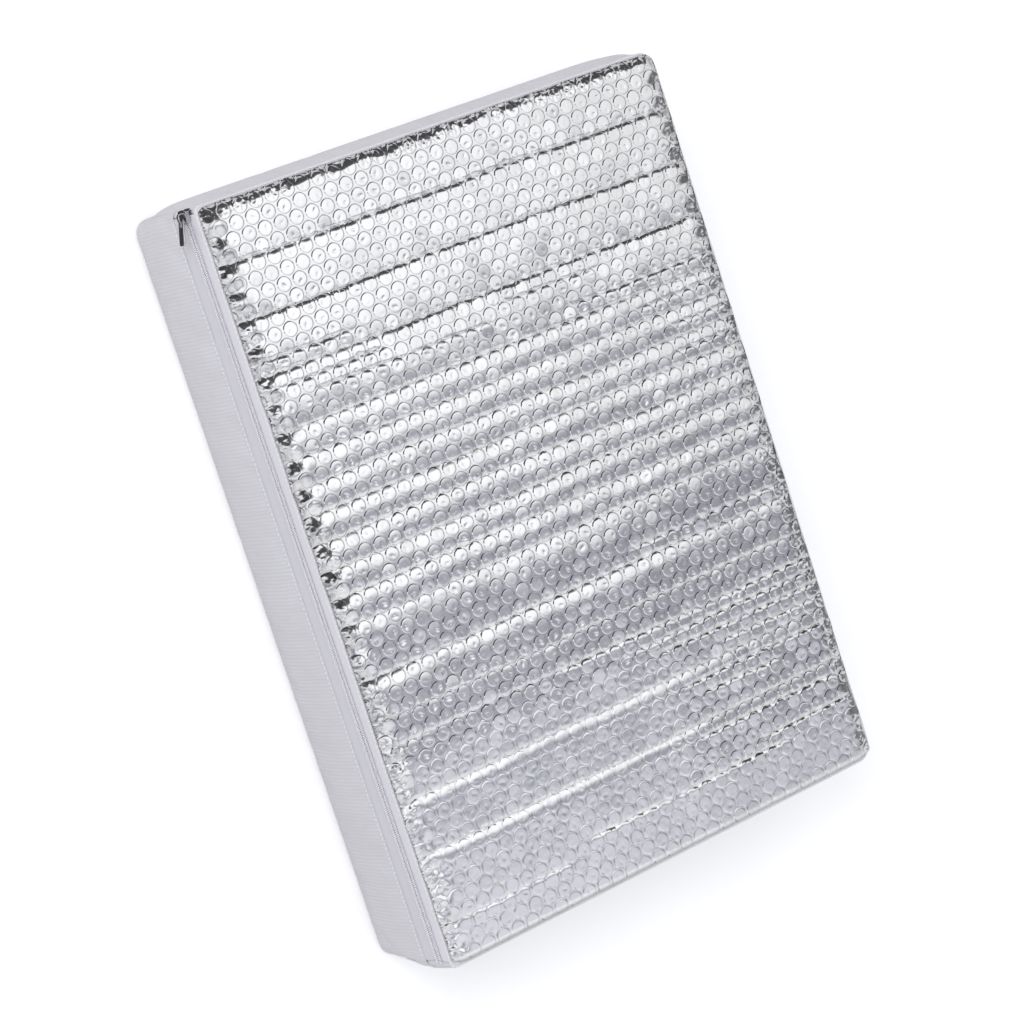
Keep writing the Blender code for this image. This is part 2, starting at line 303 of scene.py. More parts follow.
# Faces between creases that run from seam to seam: first row, tilt towards the head at the
# face's head end and at its foot end, depth of the sharp notch of the crease it starts from,
# rows over which the tilt changes, share of the tilt on the far third of the width
FACES = (
    (-1, 0.03, -0.01, 0.0, 5, 1.0),
    (4, 0.05, -0.01, 0.38, 4, 1.0),
    (8, 0.05, -0.015, 0.52, 4, 1.0),
    (12, 0.07, -0.02, 0.26, 4, 1.0),
    (16, 0.10, -0.03, 0.12, 2, 1.0),
    (18, 0.10, -0.03, 0.08, 2, 1.0),
    (20, 0.11, -0.03, 0.08, 2, 1.0),
    (22, 0.12, -0.03, 0.08, 2, 1.0),
    (24, 0.12, -0.025, 0.08, 2, 1.0),
    (26, 0.12, -0.025, 0.08, 2, 0.9),
    (28, 0.11, -0.02, 0.08, 2, 0.8),
    (30, 0.07, -0.01, 0.08, 3, 0.6),
    (34, 0.14, 0.0, 0.15, 2, 0.6),
    (37, 0.02, 0.0, 0.05, 3, 0.6),
    (39, 0.02, 0.0, 0.05, 3, 0.6),
    (43, 0.14, 0.01, 0.05, 1.3, 0.35),
    (47, 0.14, 0.012, 0.05, 1.3, 0.35),
    (57, 0.0, 0.0, 0.0, 1, 1.0),
)
# Shorter creases: row, depth, from and to as shares of the width from the zip side
SHORT_CREASES = (
    (11, 0.35, 0.00, 0.20),
    (12, 0.35, 0.30, 1.00),
    (13, 0.30, 0.03, 0.26),
    (13, 0.25, 0.50, 0.72),
    (14, 0.30, 0.12, 0.46),
    (15, 0.35, 0.66, 1.00),
    (17, 0.20, 0.80, 1.00),
    (19, 0.20, 0.86, 1.00),
    (21, 0.20, 0.84, 1.00),
    (33, 0.25, 0.62, 1.00),
    (39, 0.25, 0.40, 1.00),
    (40, 0.30, 0.52, 1.00),
    (41, 0.40, 0.62, 1.00),
    (42, 0.30, 0.74, 1.00),
    (44, 0.45, 0.64, 1.00),
    (45, 0.35, 0.66, 0.84),
    (48, 0.45, 0.64, 1.00),
    (50, 0.45, 0.76, 0.98),
    (51, 0.50, 0.36, 0.80),
    (52, 0.20, 0.04, 0.30),
)
CREASE_REACH = 1.6 * MM
FACE_BEND = 2.0
FACE_HEIGHT = 0.5 * MM
SNAP = 0.5 * MM
ZIP_ROLL = 8 * MM
FAR_ROLL = 12 * MM
HEAD_ROLL = 5 * MM
FOOT_ROLL = 5 * MM
GATHER = 1.15 * MM
CRUSHED = 13 * MM
FOLD_DEPTH = 0.45 * MM
OVERHANG = 1.5 * MM
FOIL_ZIP_CORNER = 1.8 * MM
FOIL_FAR_CORNER = 8.8 * MM


def rows_from_head(y):
    return (HALF_LENGTH - y) / ROW


def width_share(x):
    """0 at the zip side and 1 at the far side."""
    return (x + HALF_WIDTH) / (2 * HALF_WIDTH)


def crease_y(row, x):
    """The crease's line: straight along the rows, with a slow wander."""
    wander = 0.5 * np.sin(x * 21 + row * 1.7) + 0.3 * np.sin(x * 57 + row * 2.9)
    wander += 0.22 * np.sin(x * 2 * math.pi / PITCH + row * 1.1) + 0.2 * np.sin(x * 231 + row * 4.3)
    return row_line(row + CREASE_PHASE) + wander * MM


def span_fade(x, start, end):
    """1 inside a share of the width and 0 outside, with soft ends."""
    share = width_share(x)
    opening = smoothstep(start - 0.03, start + 0.03, share) if start > 0 else 1.0
    closing = 1 - smoothstep(end - 0.03, end + 0.03, share) if end < 1 else 1.0
    return opening * closing


def all_creases():
    """Every crease as row, depth, from and to as shares of the width."""
    for row, _, _, depth, _, _ in FACES:
        if depth:
            yield row, depth, 0.0, 1.0
    yield from SHORT_CREASES


def snap_to_creases(x, y):
    """Moves points that lie close to a crease onto it, so that its bottom is a clean line."""
    moved = y.copy()
    for row, _, start, end in all_creases():
        inside = span_fade(x, start, end) > 0.5
        for shift in (CREASE_REACH, 0, -CREASE_REACH):
            line = crease_y(row, x) + shift
            moved = np.where((np.abs(y - line) < SNAP) & inside, line, moved)
    return moved


def crease_notches(x, y):
    """Depth of the creases at each point, and how much they flatten the bubbles."""
    depth = np.zeros_like(x)
    share = np.zeros_like(x)
    for row, deep, start, end in all_creases():
        off = y - crease_y(row, x)
        v = np.clip(1 - np.abs(off) / CREASE_REACH, 0, 1) * span_fade(x, start, end)
        strength = 0.75 + 0.3 * np.sin(x * 38 + row * 2.3) + 0.25 * np.sin(x * 143 + row * 5.1)
        strength += 0.3 * np.sin(x * 2 * math.pi / PITCH + row * math.pi)
        strength = np.clip(strength, 0.15, 1.3)
        depth += deep * MM * v * strength
        share = np.maximum(share, v * min(1.0, 1.5 * deep))
    return depth, share


def face_profile(x, y):
    """Height of the faces: each rises from its crease, flattens, and drops back at the next."""
    height = np.zeros_like(y)
    share = width_share(x)
    for face, following in zip(FACES, FACES[1:]):
        row, head, foot, _, bend_rows, far_share = face
        upper, lower = crease_y(row, x), crease_y(following[0], x)
        bend = bend_rows * ROW
        s = np.clip((upper - y) / bend, 0, 1)
        sway = 1 + 0.22 * np.sin(x * 24 + row * 1.3) + 0.12 * np.sin(x * 71 + row * 3.7)
        sway *= 1 + (far_share - 1) * smoothstep(0.58, 0.74, share)
        reach = (1 - (1 - s) ** (FACE_BEND + 1)) / (FACE_BEND + 1)
        rise = foot * (upper - y) + bend * (head * sway - foot) * reach
        fall = np.clip((y - lower) / CREASE_REACH, 0, 1)
        inside = (y <= upper) & (y > lower)
        height = np.where(inside, rise * fall, height)
    return height


def gather_phase(y):
    """Phase of the gathers along the long seams: one for every second row, slightly uneven."""
    return y / ROW * math.pi + 0.8 * np.sin(y * 31)


def edge_roll(x, y):
    """Share of the full height, falling to 0 at the foil's rim, where it meets the binding."""
    sway = 1 + 0.35 * np.sin(gather_phase(y))
    across = np.minimum((x - FOIL_LOW.x) / ZIP_ROLL, (FOIL_HIGH.x - x) / FAR_ROLL) / sway
    ripple = 1 + 0.45 * waves(x, 0 * x, 26 * MM, SEED + 22, 1)
    head = (FOIL_HIGH.y - y) / (HEAD_ROLL * np.clip(ripple, 0.35, 1.7))
    foot = (y - FOIL_LOW.y) / FOOT_ROLL
    along = np.minimum(head, foot)
    away_x = 1 - np.clip(across, 0, 1)
    away_y = 1 - np.clip(along, 0, 1)
    away = np.clip(np.hypot(away_x, away_y), 0, 1)
    return np.sqrt(1 - away * away)


def hang_over_rim(x, y):
    """Lets the puffed edge hang over the binding, unevenly. Returns the moved x and y."""
    roll = edge_roll(x, y)
    lift = 4 * roll * (1 - roll)
    near_x = 1 - smoothstep(0, FAR_ROLL, np.minimum(x - FOIL_LOW.x, FOIL_HIGH.x - x))
    near_y = 1 - smoothstep(0, HEAD_ROLL, FOIL_HIGH.y - y)
    uneven_x = np.clip(0.6 + 0.5 * waves(x * 0, y, 24 * MM, SEED + 24, 1), 0, 1.4)
    uneven_y = np.clip(0.4 + 0.4 * waves(x, y * 0, 24 * MM, SEED + 25, 1), 0, 1.0)
    moved_x = x + np.sign(x) * OVERHANG * lift * near_x * uneven_x
    return moved_x, y + OVERHANG * lift * near_y * uneven_y


def edge_puckers(x, y):
    """Gathers along both long seams, one for every second row, with small sharp folds."""
    from_edge = np.minimum(x - FOIL_LOW.x, FOIL_HIGH.x - x)
    fade = 1 - smoothstep(2 * MM, 15 * MM, from_edge)
    calmer = 0.35 + 0.65 * smoothstep(-0.6, 0.1, y / HALF_LENGTH)
    gathers = GATHER * calmer * fade * (np.sin(gather_phase(y)) - 0.3)
    nearest = np.minimum(from_edge, (FOIL_HIGH.y - y) * 1.3)
    reach = CRUSHED * np.clip(1 + 0.5 * waves(x, y, 40 * MM, SEED + 20, 1), 0.4, 1.8)
    crushed = 1 - smoothstep(0.2, 1.0, nearest / reach)
    folds = np.abs(waves(x, y, 7 * MM, SEED + 21, 1))
    folds = folds + 0.6 * np.abs(waves(x, y, 4 * MM, SEED + 23, 1))
    return gathers - FOLD_DEPTH * crushed * folds


def clamp_to_rim(x, y, inset=0.0):
    """Pulls points outside the foil's rim onto it. Returns the points and which ones moved."""
    low_x, high_x = FOIL_LOW.x + inset, FOIL_HIGH.x - inset
    low_y, high_y = FOIL_LOW.y + inset, FOIL_HIGH.y - inset
    radii = np.where(x < 0, FOIL_ZIP_CORNER, FOIL_FAR_CORNER)
    core_x = np.where(x < 0, low_x + radii, high_x - radii)
    core_y = np.where(y < 0, low_y + radii, high_y - radii)
    in_x = np.sign(x) * (x - core_x) > 0
    in_y = np.sign(y) * (y - core_y) > 0
    corner = in_x & in_y
    reach = np.hypot(x - core_x, y - core_y)
    over = corner & (reach > radii)
    pull = np.where(over, radii / np.maximum(reach, 1e-9), 1.0)
    new_x = np.where(over, core_x + (x - core_x) * pull, np.clip(x, low_x, high_x))
    new_y = np.where(over, core_y + (y - core_y) * pull, np.clip(y, low_y, high_y))
    moved = (np.abs(new_x - x) > 1e-7) | (np.abs(new_y - y) > 1e-7)
    return new_x, new_y, moved


def cell_boundary(around):
    """Points round one bubble's cell, the hexagon that packs with the offset rows."""
    shoulder = (ROW * ROW - PITCH * PITCH / 4) / (2 * ROW)
    peak = ROW - shoulder
    half = PITCH / 2
    corners = [(half, -shoulder), (half, shoulder), (0, peak)]
    corners += [(-x, -y) for x, y in corners]
    per_edge = around // 6
    points = []
    for start, end in zip(corners, corners[1:] + corners[:1]):
        for part in range(per_edge):
            t = part / per_edge
            points.append((start[0] + (end[0] - start[0]) * t, start[1] + (end[1] - start[1]) * t))
    return np.array(points)


def bubble_centres():
    """Centres of all bubbles that touch the foil, in offset rows."""
    centres = []
    row = -1
    while row_line(row + FIRST_ROW) > -HALF_LENGTH - ROW:
        offset = PITCH / 2 if row % 2 else 0
        x = -HALF_WIDTH - PITCH / 2 + offset
        while x < HALF_WIDTH + PITCH:
            centres.append((x, row_line(row + FIRST_ROW)))
            x += PITCH
        row += 1
    return np.array(centres)


def cell_mesh(around, radii):
    """Plan points, ring numbers, cell numbers and faces of the whole bubbled sheet."""
    centres = bubble_centres()
    rim = cell_boundary(around)
    turn = np.arctan2(rim[:, 1], rim[:, 0])
    rings = [np.zeros((1, 2))]
    rings += [np.column_stack([np.cos(turn), np.sin(turn)]) * r * MM for r in radii]
    rings.append(rim)
    local = np.concatenate(rings)
    ring_of = np.concatenate([[0]] + [np.full(around, i + 1) for i in range(len(radii) + 1)])
    plan = (centres[:, None, :] + local[None, :, :]).reshape(-1, 2)
    cells = np.repeat(np.arange(len(centres)), len(local))
    ring_all = np.tile(ring_of, len(centres))
    spots = np.round(plan / (2e-3 * MM)).astype(np.int64)
    inner = ring_all <= len(radii)
    spots[inner, 0] += 10_000_000 + np.flatnonzero(inner) * 3
    _, first, index = np.unique(spots, axis=0, return_index=True, return_inverse=True)
    index = index.reshape(-1)
    at = np.arange(around)
    after = (at + 1) % around
    fans = np.column_stack([np.zeros(around, int), 1 + at, 1 + after, 1 + after])
    quads = [fans]
    for ring in range(len(radii)):
        a, b = 1 + ring * around, 1 + (ring + 1) * around
        quads.append(np.column_stack([a + at, b + at, b + after, a + after]))
    pattern = np.concatenate(quads)
    start = np.arange(len(centres)) * len(local)
    faces = (start[:, None, None] + pattern[None]).reshape(-1, 4)
    return plan[first], ring_all[first], cells[first], index[faces], centres


def big_mesh(name, points, quads, crisp=True):
    """A mesh from arrays; a quad whose last two corners agree is a triangle."""
    triangle = quads[:, 2] == quads[:, 3]
    sizes = np.where(triangle, 3, 4)
    starts = np.concatenate([[0], np.cumsum(sizes)[:-1]])
    keep = np.ones(quads.shape, bool)
    keep[triangle, 3] = False
    data = bpy.data.meshes.new(name)
    data.vertices.add(len(points))
    data.vertices.foreach_set("co", np.asarray(points, np.float32).ravel())
    data.loops.add(int(sizes.sum()))
    data.loops.foreach_set("vertex_index", quads[keep].astype(np.int32))
    data.polygons.add(len(quads))
    data.polygons.foreach_set("loop_start", starts.astype(np.int32))
    data.update(calc_edges=True)
    data.validate()
    data.shade_smooth()
    if crisp:
        data.set_sharp_from_angle(angle=math.radians(CRISP_EDGE_DEG))
    return data


def slack_share(centres):
    """How slack each bubble is: towards the foot, most of all on the zip's side."""
    rows, share = rows_from_head(centres[:, 1]), width_share(centres[:, 0])
    slack = smoothstep(39, 43, rows) * (1 - smoothstep(0.52, 0.76, share))
    return np.maximum(slack, smoothstep(49, 53, rows))


def bubble_heights(plan, rings, cells, centres, radii_rise):
    """Height of each point of the bubbles over the land between them."""
    draw = np.random.default_rng(SEED)
    count = len(centres)
    size = draw.uniform(0.8, 1.1, count)
    slack = slack_share(centres)
    size *= 1 - 0.84 * slack
    tilt = draw.normal(0, 0.012, (count, 2)) * (1 - 0.7 * slack[:, None])
    dent_at = draw.normal(0, 0.9 * MM, (count, 2)) + np.array([0.2, -0.9]) * MM
    dent_turn = draw.uniform(0, math.pi, count)
    dent_deep = draw.uniform(0.03, 0.2, count) * MM * (1 - 0.6 * slack)
    share = np.concatenate([[1.0], radii_rise, [0.0]])[rings]
    offset = plan - centres[cells]
    height = BUBBLE_RISE * share * size[cells]
    height += np.sum(offset * tilt[cells], axis=1) * share
    from_dent = offset - dent_at[cells]
    c, s = np.cos(dent_turn[cells]), np.sin(dent_turn[cells])
    along = (from_dent[:, 0] * c + from_dent[:, 1] * s) / (1.4 * MM)
    across = (from_dent[:, 1] * c - from_dent[:, 0] * s) / (0.7 * MM)
    height -= dent_deep[cells] * np.exp(-along**2 - across**2) * share
    return height


def painted_shade_share(plan, x, y, rings, cells, centres):
    """How much shade is painted on the film: dark arcs on the bubbles' rims, and dark discs in the
    bands by the seams where the film is crushed.
    """
    draw = np.random.default_rng(SEED + 5)
    offset = plan - centres[cells]
    reach = np.maximum(np.hypot(offset[:, 0], offset[:, 1]), 1e-9)
    # Painted shade is heavier on each rim's +X and +Y side.
    facing = 0.5 + 0.5 * (offset[:, 0] * 0.8 + offset[:, 1] * 0.6) / reach
    slack = slack_share(centres)[cells]
    broken = np.clip(3 * waves(x, y, 6 * MM, SEED + 31, 1), 0, 1)
    # Painted shade on the rims; in slack bubbles it breaks into short arcs.
    rims = (0.2 + 0.45 * facing) * (1 - slack) + 0.7 * slack * broken * (1 - facing)
    rims *= np.array(RIM_PAINTED_SHADE)[rings]
    rows = rows_from_head(y)
    reach_out = np.clip(1 + 0.6 * waves(x, y, 22 * MM, SEED + 32, 1), 0.4, 1.6)
    zip_side = 1 - smoothstep(3 * MM, ZIP_BAND, (x - FOIL_LOW.x) / reach_out)
    far_side = 1 - smoothstep(2 * MM, FAR_BAND, (FOIL_HIGH.x - x) / reach_out)
    zip_side *= 1 - 0.6 * smoothstep(38, 48, rows)
    far_side *= 1 - 0.9 * smoothstep(34, 42, rows)
    patchy = 0.35 + 0.65 * np.clip(0.5 + 1.5 * waves(x, y, 5 * MM, SEED + 33, 1), 0, 1)
    # Painted shade in the bands along the long seams, where the film is crushed: dark discs with
    # lighter outlines.
    crushed = np.maximum(zip_side, far_side) * patchy * np.array(DISC_PAINTED_SHADE)[rings]
    crushed *= draw.uniform(0.45, 1.0, len(centres))[cells]
    return np.clip(np.maximum(rims, crushed), 0, 1)


def sheet_height(x, y):
    """Height of the land between the bubbles, and how much the creases flatten the bubbles."""
    depth, flatten = crease_notches(x, y)
    flat = FOIL_HIGH.z - BUBBLE_RISE - FACE_HEIGHT
    body = flat - FOIL_LOW.z + face_profile(x, y) - depth
    body += 0.04 * MM * waves(x, y, 45 * MM, SEED) + 0.010 * MM * waves(x, y, 7 * MM, SEED + 1)
    roll = edge_roll(x, y)
    return FOIL_LOW.z + roll * (body + edge_puckers(x, y)), flatten


def laminate_layer(name, around, radii, radii_rise, drop, inset):
    """One sheet of the face's laminate, drop below the face's land and inset from its rim."""
    plan, rings, cells, faces, centres = cell_mesh(around, radii)
    x, y = plan[:, 0], plan[:, 1]
    if not drop:
        y = snap_to_creases(x, y)
    x, y, outside = clamp_to_rim(x, y, inset)
    land, flatten = sheet_height(x, y)
    rise = bubble_heights(np.column_stack([x, y]), rings, cells, centres, radii_rise)
    z = land - drop + rise * (1 - 0.5 * flatten) * np.clip(edge_roll(x, y) * 1.6, 0, 1)
    faces = faces[~outside[faces].all(axis=1)]
    used, faces = np.unique(faces, return_inverse=True)
    if not drop:
        x, y = hang_over_rim(x, y)
    points = np.column_stack([x, y, z])[used]
    data = big_mesh(name, points, faces.reshape(-1, 4))
    if not drop:
        # Stores the film's painted shade as a point attribute for its material.
        painted_shade = painted_shade_share(plan, x, y, rings, cells, centres)
        layer = data.attributes.new("painted_shade", "FLOAT", "POINT")
        layer.data.foreach_set("value", painted_shade[used].astype(np.float32))
    return data


def make_laminate():
    """The face's three bonded layers: metallised film, air bubbles and a flat backing film."""
    film = laminate_layer("foil_face", AROUND, RING_RADII, RING_RISE, 0.0, 0.0)
    foil = register("foil_face", film, "cover", ["foil_film"])
    radii, rises = (3.0, 4.6, 5.0), (1.0, 0.92, 0.0)
    bubbles = laminate_layer("bubble_layer", AROUND // 2, radii, rises, AIR_DROP, 4 * MM)
    air = register("bubble_layer", bubbles, "cover", ["bubble_sheet"])
    flat = laminate_layer("flat_backing", AROUND // 4, (), (), BACKING_DROP, 5 * MM)
    backing = register("flat_backing", flat, "cover", ["backing_film"])
    paint(foil, foil_material())
    milky = plain_material("clear_film", grey(0.82, 0.02), 0.3, 0.0, 200.0)
    paint(air, milky)
    paint(backing, milky)


# ------------------------------------------------------------------ fabric cover


ZIP_HEAD_END = WHERE["zip_head"][1]
ZIP_FOOT_START = WHERE["zip_foot"][0]
AROUND_LENGTH = PLAN[-1, 4] + math.dist(PLAN[-1, :2], PLAN[0, :2])
PRESSURE = 4.0
PUFF_FRAMES = 20
PUFF_CAP = 2.4 * MM
HEM_RISE = 0.3 * MM
TUCK = 1.6 * MM
POCKET = 0.8 * MM
FOAM_POCKET = -1.6 * MM
SLIDER_LOW, SLIDER_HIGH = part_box("slider_body")


def heights_between(low, high, step=STEP):
    """Evenly spaced heights, close to a step apart, with both ends."""
    return list(np.linspace(low, high, max(2, round((high - low) / step) + 1)))


def run_cloth(pieces):
    """Swells each (piece, pinned vertex numbers) by cloth simulation and keeps the result."""
    scene = bpy.context.scene
    for piece, pinned in pieces:
        piece.vertex_groups.new(name="pinned").add(pinned, 1.0, "REPLACE")
        settings = piece.modifiers.new("cloth", "CLOTH").settings
        settings.quality = 6
        settings.mass = 0.25
        settings.tension_stiffness = settings.compression_stiffness = 14
        settings.shear_stiffness = 6
        settings.bending_stiffness = 0.8
        settings.use_pressure = True
        settings.uniform_pressure_force = PRESSURE
        settings.shrink_min = -0.012
        settings.effector_weights.gravity = 0
        settings.vertex_group_mass = "pinned"
    for number in range(1, PUFF_FRAMES + 1):
        scene.frame_set(number)
    graph = bpy.context.evaluated_depsgraph_get()
    for piece, _ in pieces:
        rest = read_points(piece.data)
        moved = read_points(piece.evaluated_get(graph).data) - rest
        size = np.linalg.norm(moved, axis=1)
        cap = np.minimum(1, PUFF_CAP / np.maximum(size, 1e-9))
        piece.modifiers.clear()
        piece.vertex_groups.clear()
        write_points(piece.data, rest + moved * cap[:, None])
    scene.frame_set(1)


def read_points(data):
    """A mesh's points as an array."""
    points = np.zeros(len(data.vertices) * 3, np.float32)
    data.vertices.foreach_get("co", points)
    return points.reshape(-1, 3).astype(float)


def write_points(data, points):
    data.vertices.foreach_set("co", points.astype(np.float32).ravel())
    data.update()


def soften(piece):
    """One level of subdivision."""
    smooth = piece.modifiers.new("smooth", "SUBSURF")
    smooth.levels = smooth.render_levels = 1


def add_thickness(piece, thickness):
    """Gives a sheet its thickness inwards and softens it."""
    skin = piece.modifiers.new("thickness", "SOLIDIFY")
    skin.thickness = thickness
    skin.offset = -1
    soften(piece)


def make_zip_side_panel():
    """The lower panel of the zip's side with its folded hem. Returns it and its pinned points."""
    columns = list(range(WHERE["zip_foot"][1]))
    hem = HEM_TOP - HEM_WIDTH
    heights = heights_between(WALL_LOW, hem - 0.6 * MM)
    heights += [hem - 0.1 * MM, hem + 0.3 * MM, hem + 0.9 * MM]
    heights += [HEM_TOP - 1.1 * MM, HEM_TOP - 0.4 * MM, HEM_TOP]
    points, faces, uvs = cloth_wall(columns, heights, PLAN[columns, 4])
    piece = cover_piece("zip_side_fabric", "zip_side_panel", points, faces, uvs)
    across = len(columns)
    row = np.arange(len(points)) // across
    column = np.arange(len(points)) % across
    pinned = (row == 0) | (points[:, 2] > hem - 2 * MM) | (column == 0) | (column == across - 1)
    return piece, np.flatnonzero(pinned).tolist()


def tuck_tabs(points, columns):
    """Turns the tabs' free edges inwards, on to the tapes and in behind the hem."""
    across = len(columns)
    place = np.arange(len(points)) % across
    from_free = np.minimum(place, across - 1 - place)
    z = points[:, 2]
    on_tape = TUCK * np.clip(1 - from_free / 3.0, 0, 1) ** 1.5
    behind_hem = (FABRIC + 0.1 * MM) * (1 - smoothstep(HEM_TOP - 0.6 * MM, HEM_TOP + 1.6 * MM, z))
    inwards = np.where(from_free < ARC_PARTS, np.maximum(on_tape, behind_hem), 0)
    points[:, :2] -= PLAN[columns, 2:4][place] * inwards[:, None]


def make_side_band():
    """The band round the other sides, with a tab at each zip corner above the hem."""
    columns = list(range(ZIP_FOOT_START, len(PLAN))) + list(range(ZIP_HEAD_END))
    lengths = PLAN[columns, 4].copy()
    lengths[len(PLAN) - ZIP_FOOT_START :] += AROUND_LENGTH
    tab_low = HEM_TOP - 1.2 * MM
    heights = heights_between(WALL_LOW, tab_low) + heights_between(tab_low, WALL_HIGH, 3 * MM)[1:]
    points, faces, uvs = cloth_wall(columns, heights, lengths)
    across = len(columns)
    tuck_tabs(points, columns)
    kept = []
    for quad in faces:
        at = quad[0] % across
        in_tab = at < ARC_PARTS or at >= across - 1 - ARC_PARTS
        if not in_tab or points[quad[0], 2] > tab_low - 1e-6:
            kept.append(quad)
    used = sorted({corner for quad in kept for corner in quad})
    fresh = {old: new for new, old in enumerate(used)}
    kept = [tuple(fresh[corner] for corner in quad) for quad in kept]
    points = points[used]
    uvs = [uvs[old] for old in used]
    piece = cover_piece("side_band_fabric", "side_band", points, kept, uvs)
    column = np.array(used) % across
    row = np.array(used) // across
    in_tab = (column <= ARC_PARTS) | (column >= across - 1 - ARC_PARTS)
    pinned = (row == 0) | (row == len(heights) - 1) | in_tab
    return piece, np.flatnonzero(pinned).tolist()


def shape_hem(piece):
    """Raises the folded hem a little and presses a groove under it."""
    points = read_points(piece.data)
    z = points[:, 2]
    hem = HEM_TOP - HEM_WIDTH
    raised = smoothstep(hem - 0.2 * MM, hem + 0.6 * MM, z)
    groove = np.exp(-(((z - hem + 0.4 * MM) / (0.6 * MM)) ** 2))
    points[:, 0] -= HEM_RISE * raised - 0.25 * MM * groove
    write_points(piece.data, points)


def press_pocket(points, kept):
    """Presses the head corner in behind the parked slider, to kept from the corner's centre.

    A negative kept presses the points past that centre.
    """
    x, y, z = points.T
    near = smoothstep(SLIDER_LOW.z - 3.5 * MM, SLIDER_LOW.z - 0.5 * MM, z)
    near *= 1 - smoothstep(SLIDER_HIGH.z + 0.5 * MM, SLIDER_HIGH.z + 3.5 * MM, z)
    corner_x, corner_y = ZIP_CORNER - HALF_WIDTH, HALF_LENGTH - ZIP_CORNER
    off_x, off_y = x - corner_x, y - corner_y
    share = near * (1 - smoothstep(0, 10 * MM, off_x)) * (off_y > -1e-6)
    reach = np.hypot(np.minimum(off_x, 0), off_y)
    wanted = np.minimum(reach, kept)
    pull = share * (reach - wanted) / np.maximum(reach, 1e-9)
    points[:, 0] -= np.minimum(off_x, 0) * pull
    points[:, 1] -= off_y * pull


def make_slider_pocket(piece):
    """Presses the head corner's tab in behind the parked slider."""
    points = read_points(piece.data)
    press_pocket(points, POCKET)
    write_points(piece.data, points)


def inward_rings(first_inset, shares):
    """Outline rings from an inset inwards to the pad's long centre line."""
    start = PLAN[:, :2] - PLAN[:, 2:4] * first_inset
    reach = HALF_LENGTH - HALF_WIDTH
    spine = np.column_stack([np.zeros(len(PLAN)), np.clip(PLAN[:, 1], -reach, reach)])
    return [start + (spine - start) * share for share in shares]


def cap_mesh(rings, heights, upwards):
    """Points and quads of rings joined one inside the other."""
    points = np.concatenate([np.column_stack([r, h]) for r, h in zip(rings, heights)])
    faces = grid_faces(len(rings), len(PLAN), closed=True)
    return points, faces if upwards else [quad[::-1] for quad in faces]


def make_back_fabric():
    """The underside: flat where it rests, turned up to the seam round its edge."""
    shares = (0.0, 0.006, 0.016, 0.03, 0.05, 0.08, 0.14, 0.22)
    shares += (0.32, 0.44, 0.56, 0.68, 0.8, 0.9, 0.985)
    rings = inward_rings(WALL_LOW_INSET + 0.4 * MM, shares)
    rise = (2.3, 1.3, 0.6, 0.25, 0.08, 0.0)
    heights = []
    for index, ring in enumerate(rings):
        ripple = 0.12 * MM * (1 + waves(ring[:, 0], ring[:, 1], 60 * MM, SEED + 5))
        base = rise[index] * MM if index < len(rise) else 0.0
        heights.append(base + (ripple if index > 3 else 0))
    points, faces = cap_mesh(rings, [h * np.ones(len(PLAN)) for h in heights], False)
    round_low_corners(points, WALL_LOW_INSET)
    piece = cover_piece("back_fabric", "back_panel", points, faces, points[:, :2])
    add_thickness(piece, FABRIC)
    return piece


def make_cover():
    """The fabric cover: walls puffed by simulation, and the underside."""
    panel, panel_pins = make_zip_side_panel()
    band, band_pins = make_side_band()
    run_cloth([(panel, panel_pins), (band, band_pins)])
    shape_hem(panel)
    make_slider_pocket(band)
    add_thickness(panel, FABRIC)
    add_thickness(band, FABRIC)
    back = make_back_fabric()
    woven = fabric_material("cover_fabric", grey(0.645, 0.035), 2.4 * MM, 0.22 * MM, 0.15)
    for piece in (panel, band, back):
        paint(piece, woven)


def make_binding():
    """A narrow folded strip over the seam between the walls and the foil face."""
    section = []
    for a, b in superellipse(12, 1.25 * MM, 0.65 * MM, 0.6, phase=0):
        section.append((1.65 * MM + a, SEAM_TOP - 0.6 * MM + b))
    length = PLAN[:, 4]
    sway = 0.15 * MM * waves(length, length * 0, 50 * MM, SEED + 2)
    lift = 0.12 * MM * waves(length, length * 0, 35 * MM, SEED + 3)
    points, faces = ring_sweep(section, sway, lift)
    around = np.repeat(np.arange(len(section)) * 0.6 * MM, len(PLAN))
    uvs = np.column_stack([np.tile(length, len(section)), around])
    piece = cover_piece("edge_binding_strip", "edge_binding", points, faces, uvs)
    soften(piece)
    paint(piece, fabric_material("binding", grey(0.70, 0.03), 0.9 * MM, 0.08 * MM, 0.06))


def make_foam():
    """The foam block: eased edges, flat top and bottom, slightly uneven skin."""
    low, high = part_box("foam_core")
    edge = 4 * MM
    turned = [math.radians(90 * part / 6) for part in range(7)]
    levels = [(edge * (1 - math.sin(a)), low.z + edge * (1 - math.cos(a))) for a in turned]
    upright = heights_between(low.z + 2 * edge, high.z - 2 * edge, 3 * MM)
    levels += [(0.0, height) for height in upright]
    levels += [(edge * (1 - math.cos(a)), high.z - edge * (1 - math.sin(a))) for a in turned]
    side = 2.6 * MM
    inner = inward_rings(side + edge, (0.95, 0.75, 0.5, 0.3, 0.15, 0.05))
    rings = inner + [inward_rings(side, (inset / HALF_WIDTH,))[0] for inset, _ in levels]
    rings += inner[::-1]
    heights = [low.z] * len(inner) + [height for _, height in levels] + [high.z] * len(inner)
    points, faces = cap_mesh(rings, [np.full(len(PLAN), height) for height in heights], True)
    zip_side = points[:, 0] < low.x
    points[zip_side, 0] = low.x + (points[zip_side, 0] - low.x) * 0.05
    round_low_corners(points, 4 * MM)
    press_pocket(points, FOAM_POCKET)
    points[:, 2] += 0.15 * MM * waves(points[:, 0], points[:, 1], 40 * MM, SEED + 9)
    caps = [tuple(range(len(PLAN)))[::-1], tuple(range(len(points) - len(PLAN), len(points)))]
    piece = make_piece("foam_block", points, faces + caps, "cover", ["foam_core"])
    paint(piece, foam_material())


# ------------------------------------------------------------------ zip


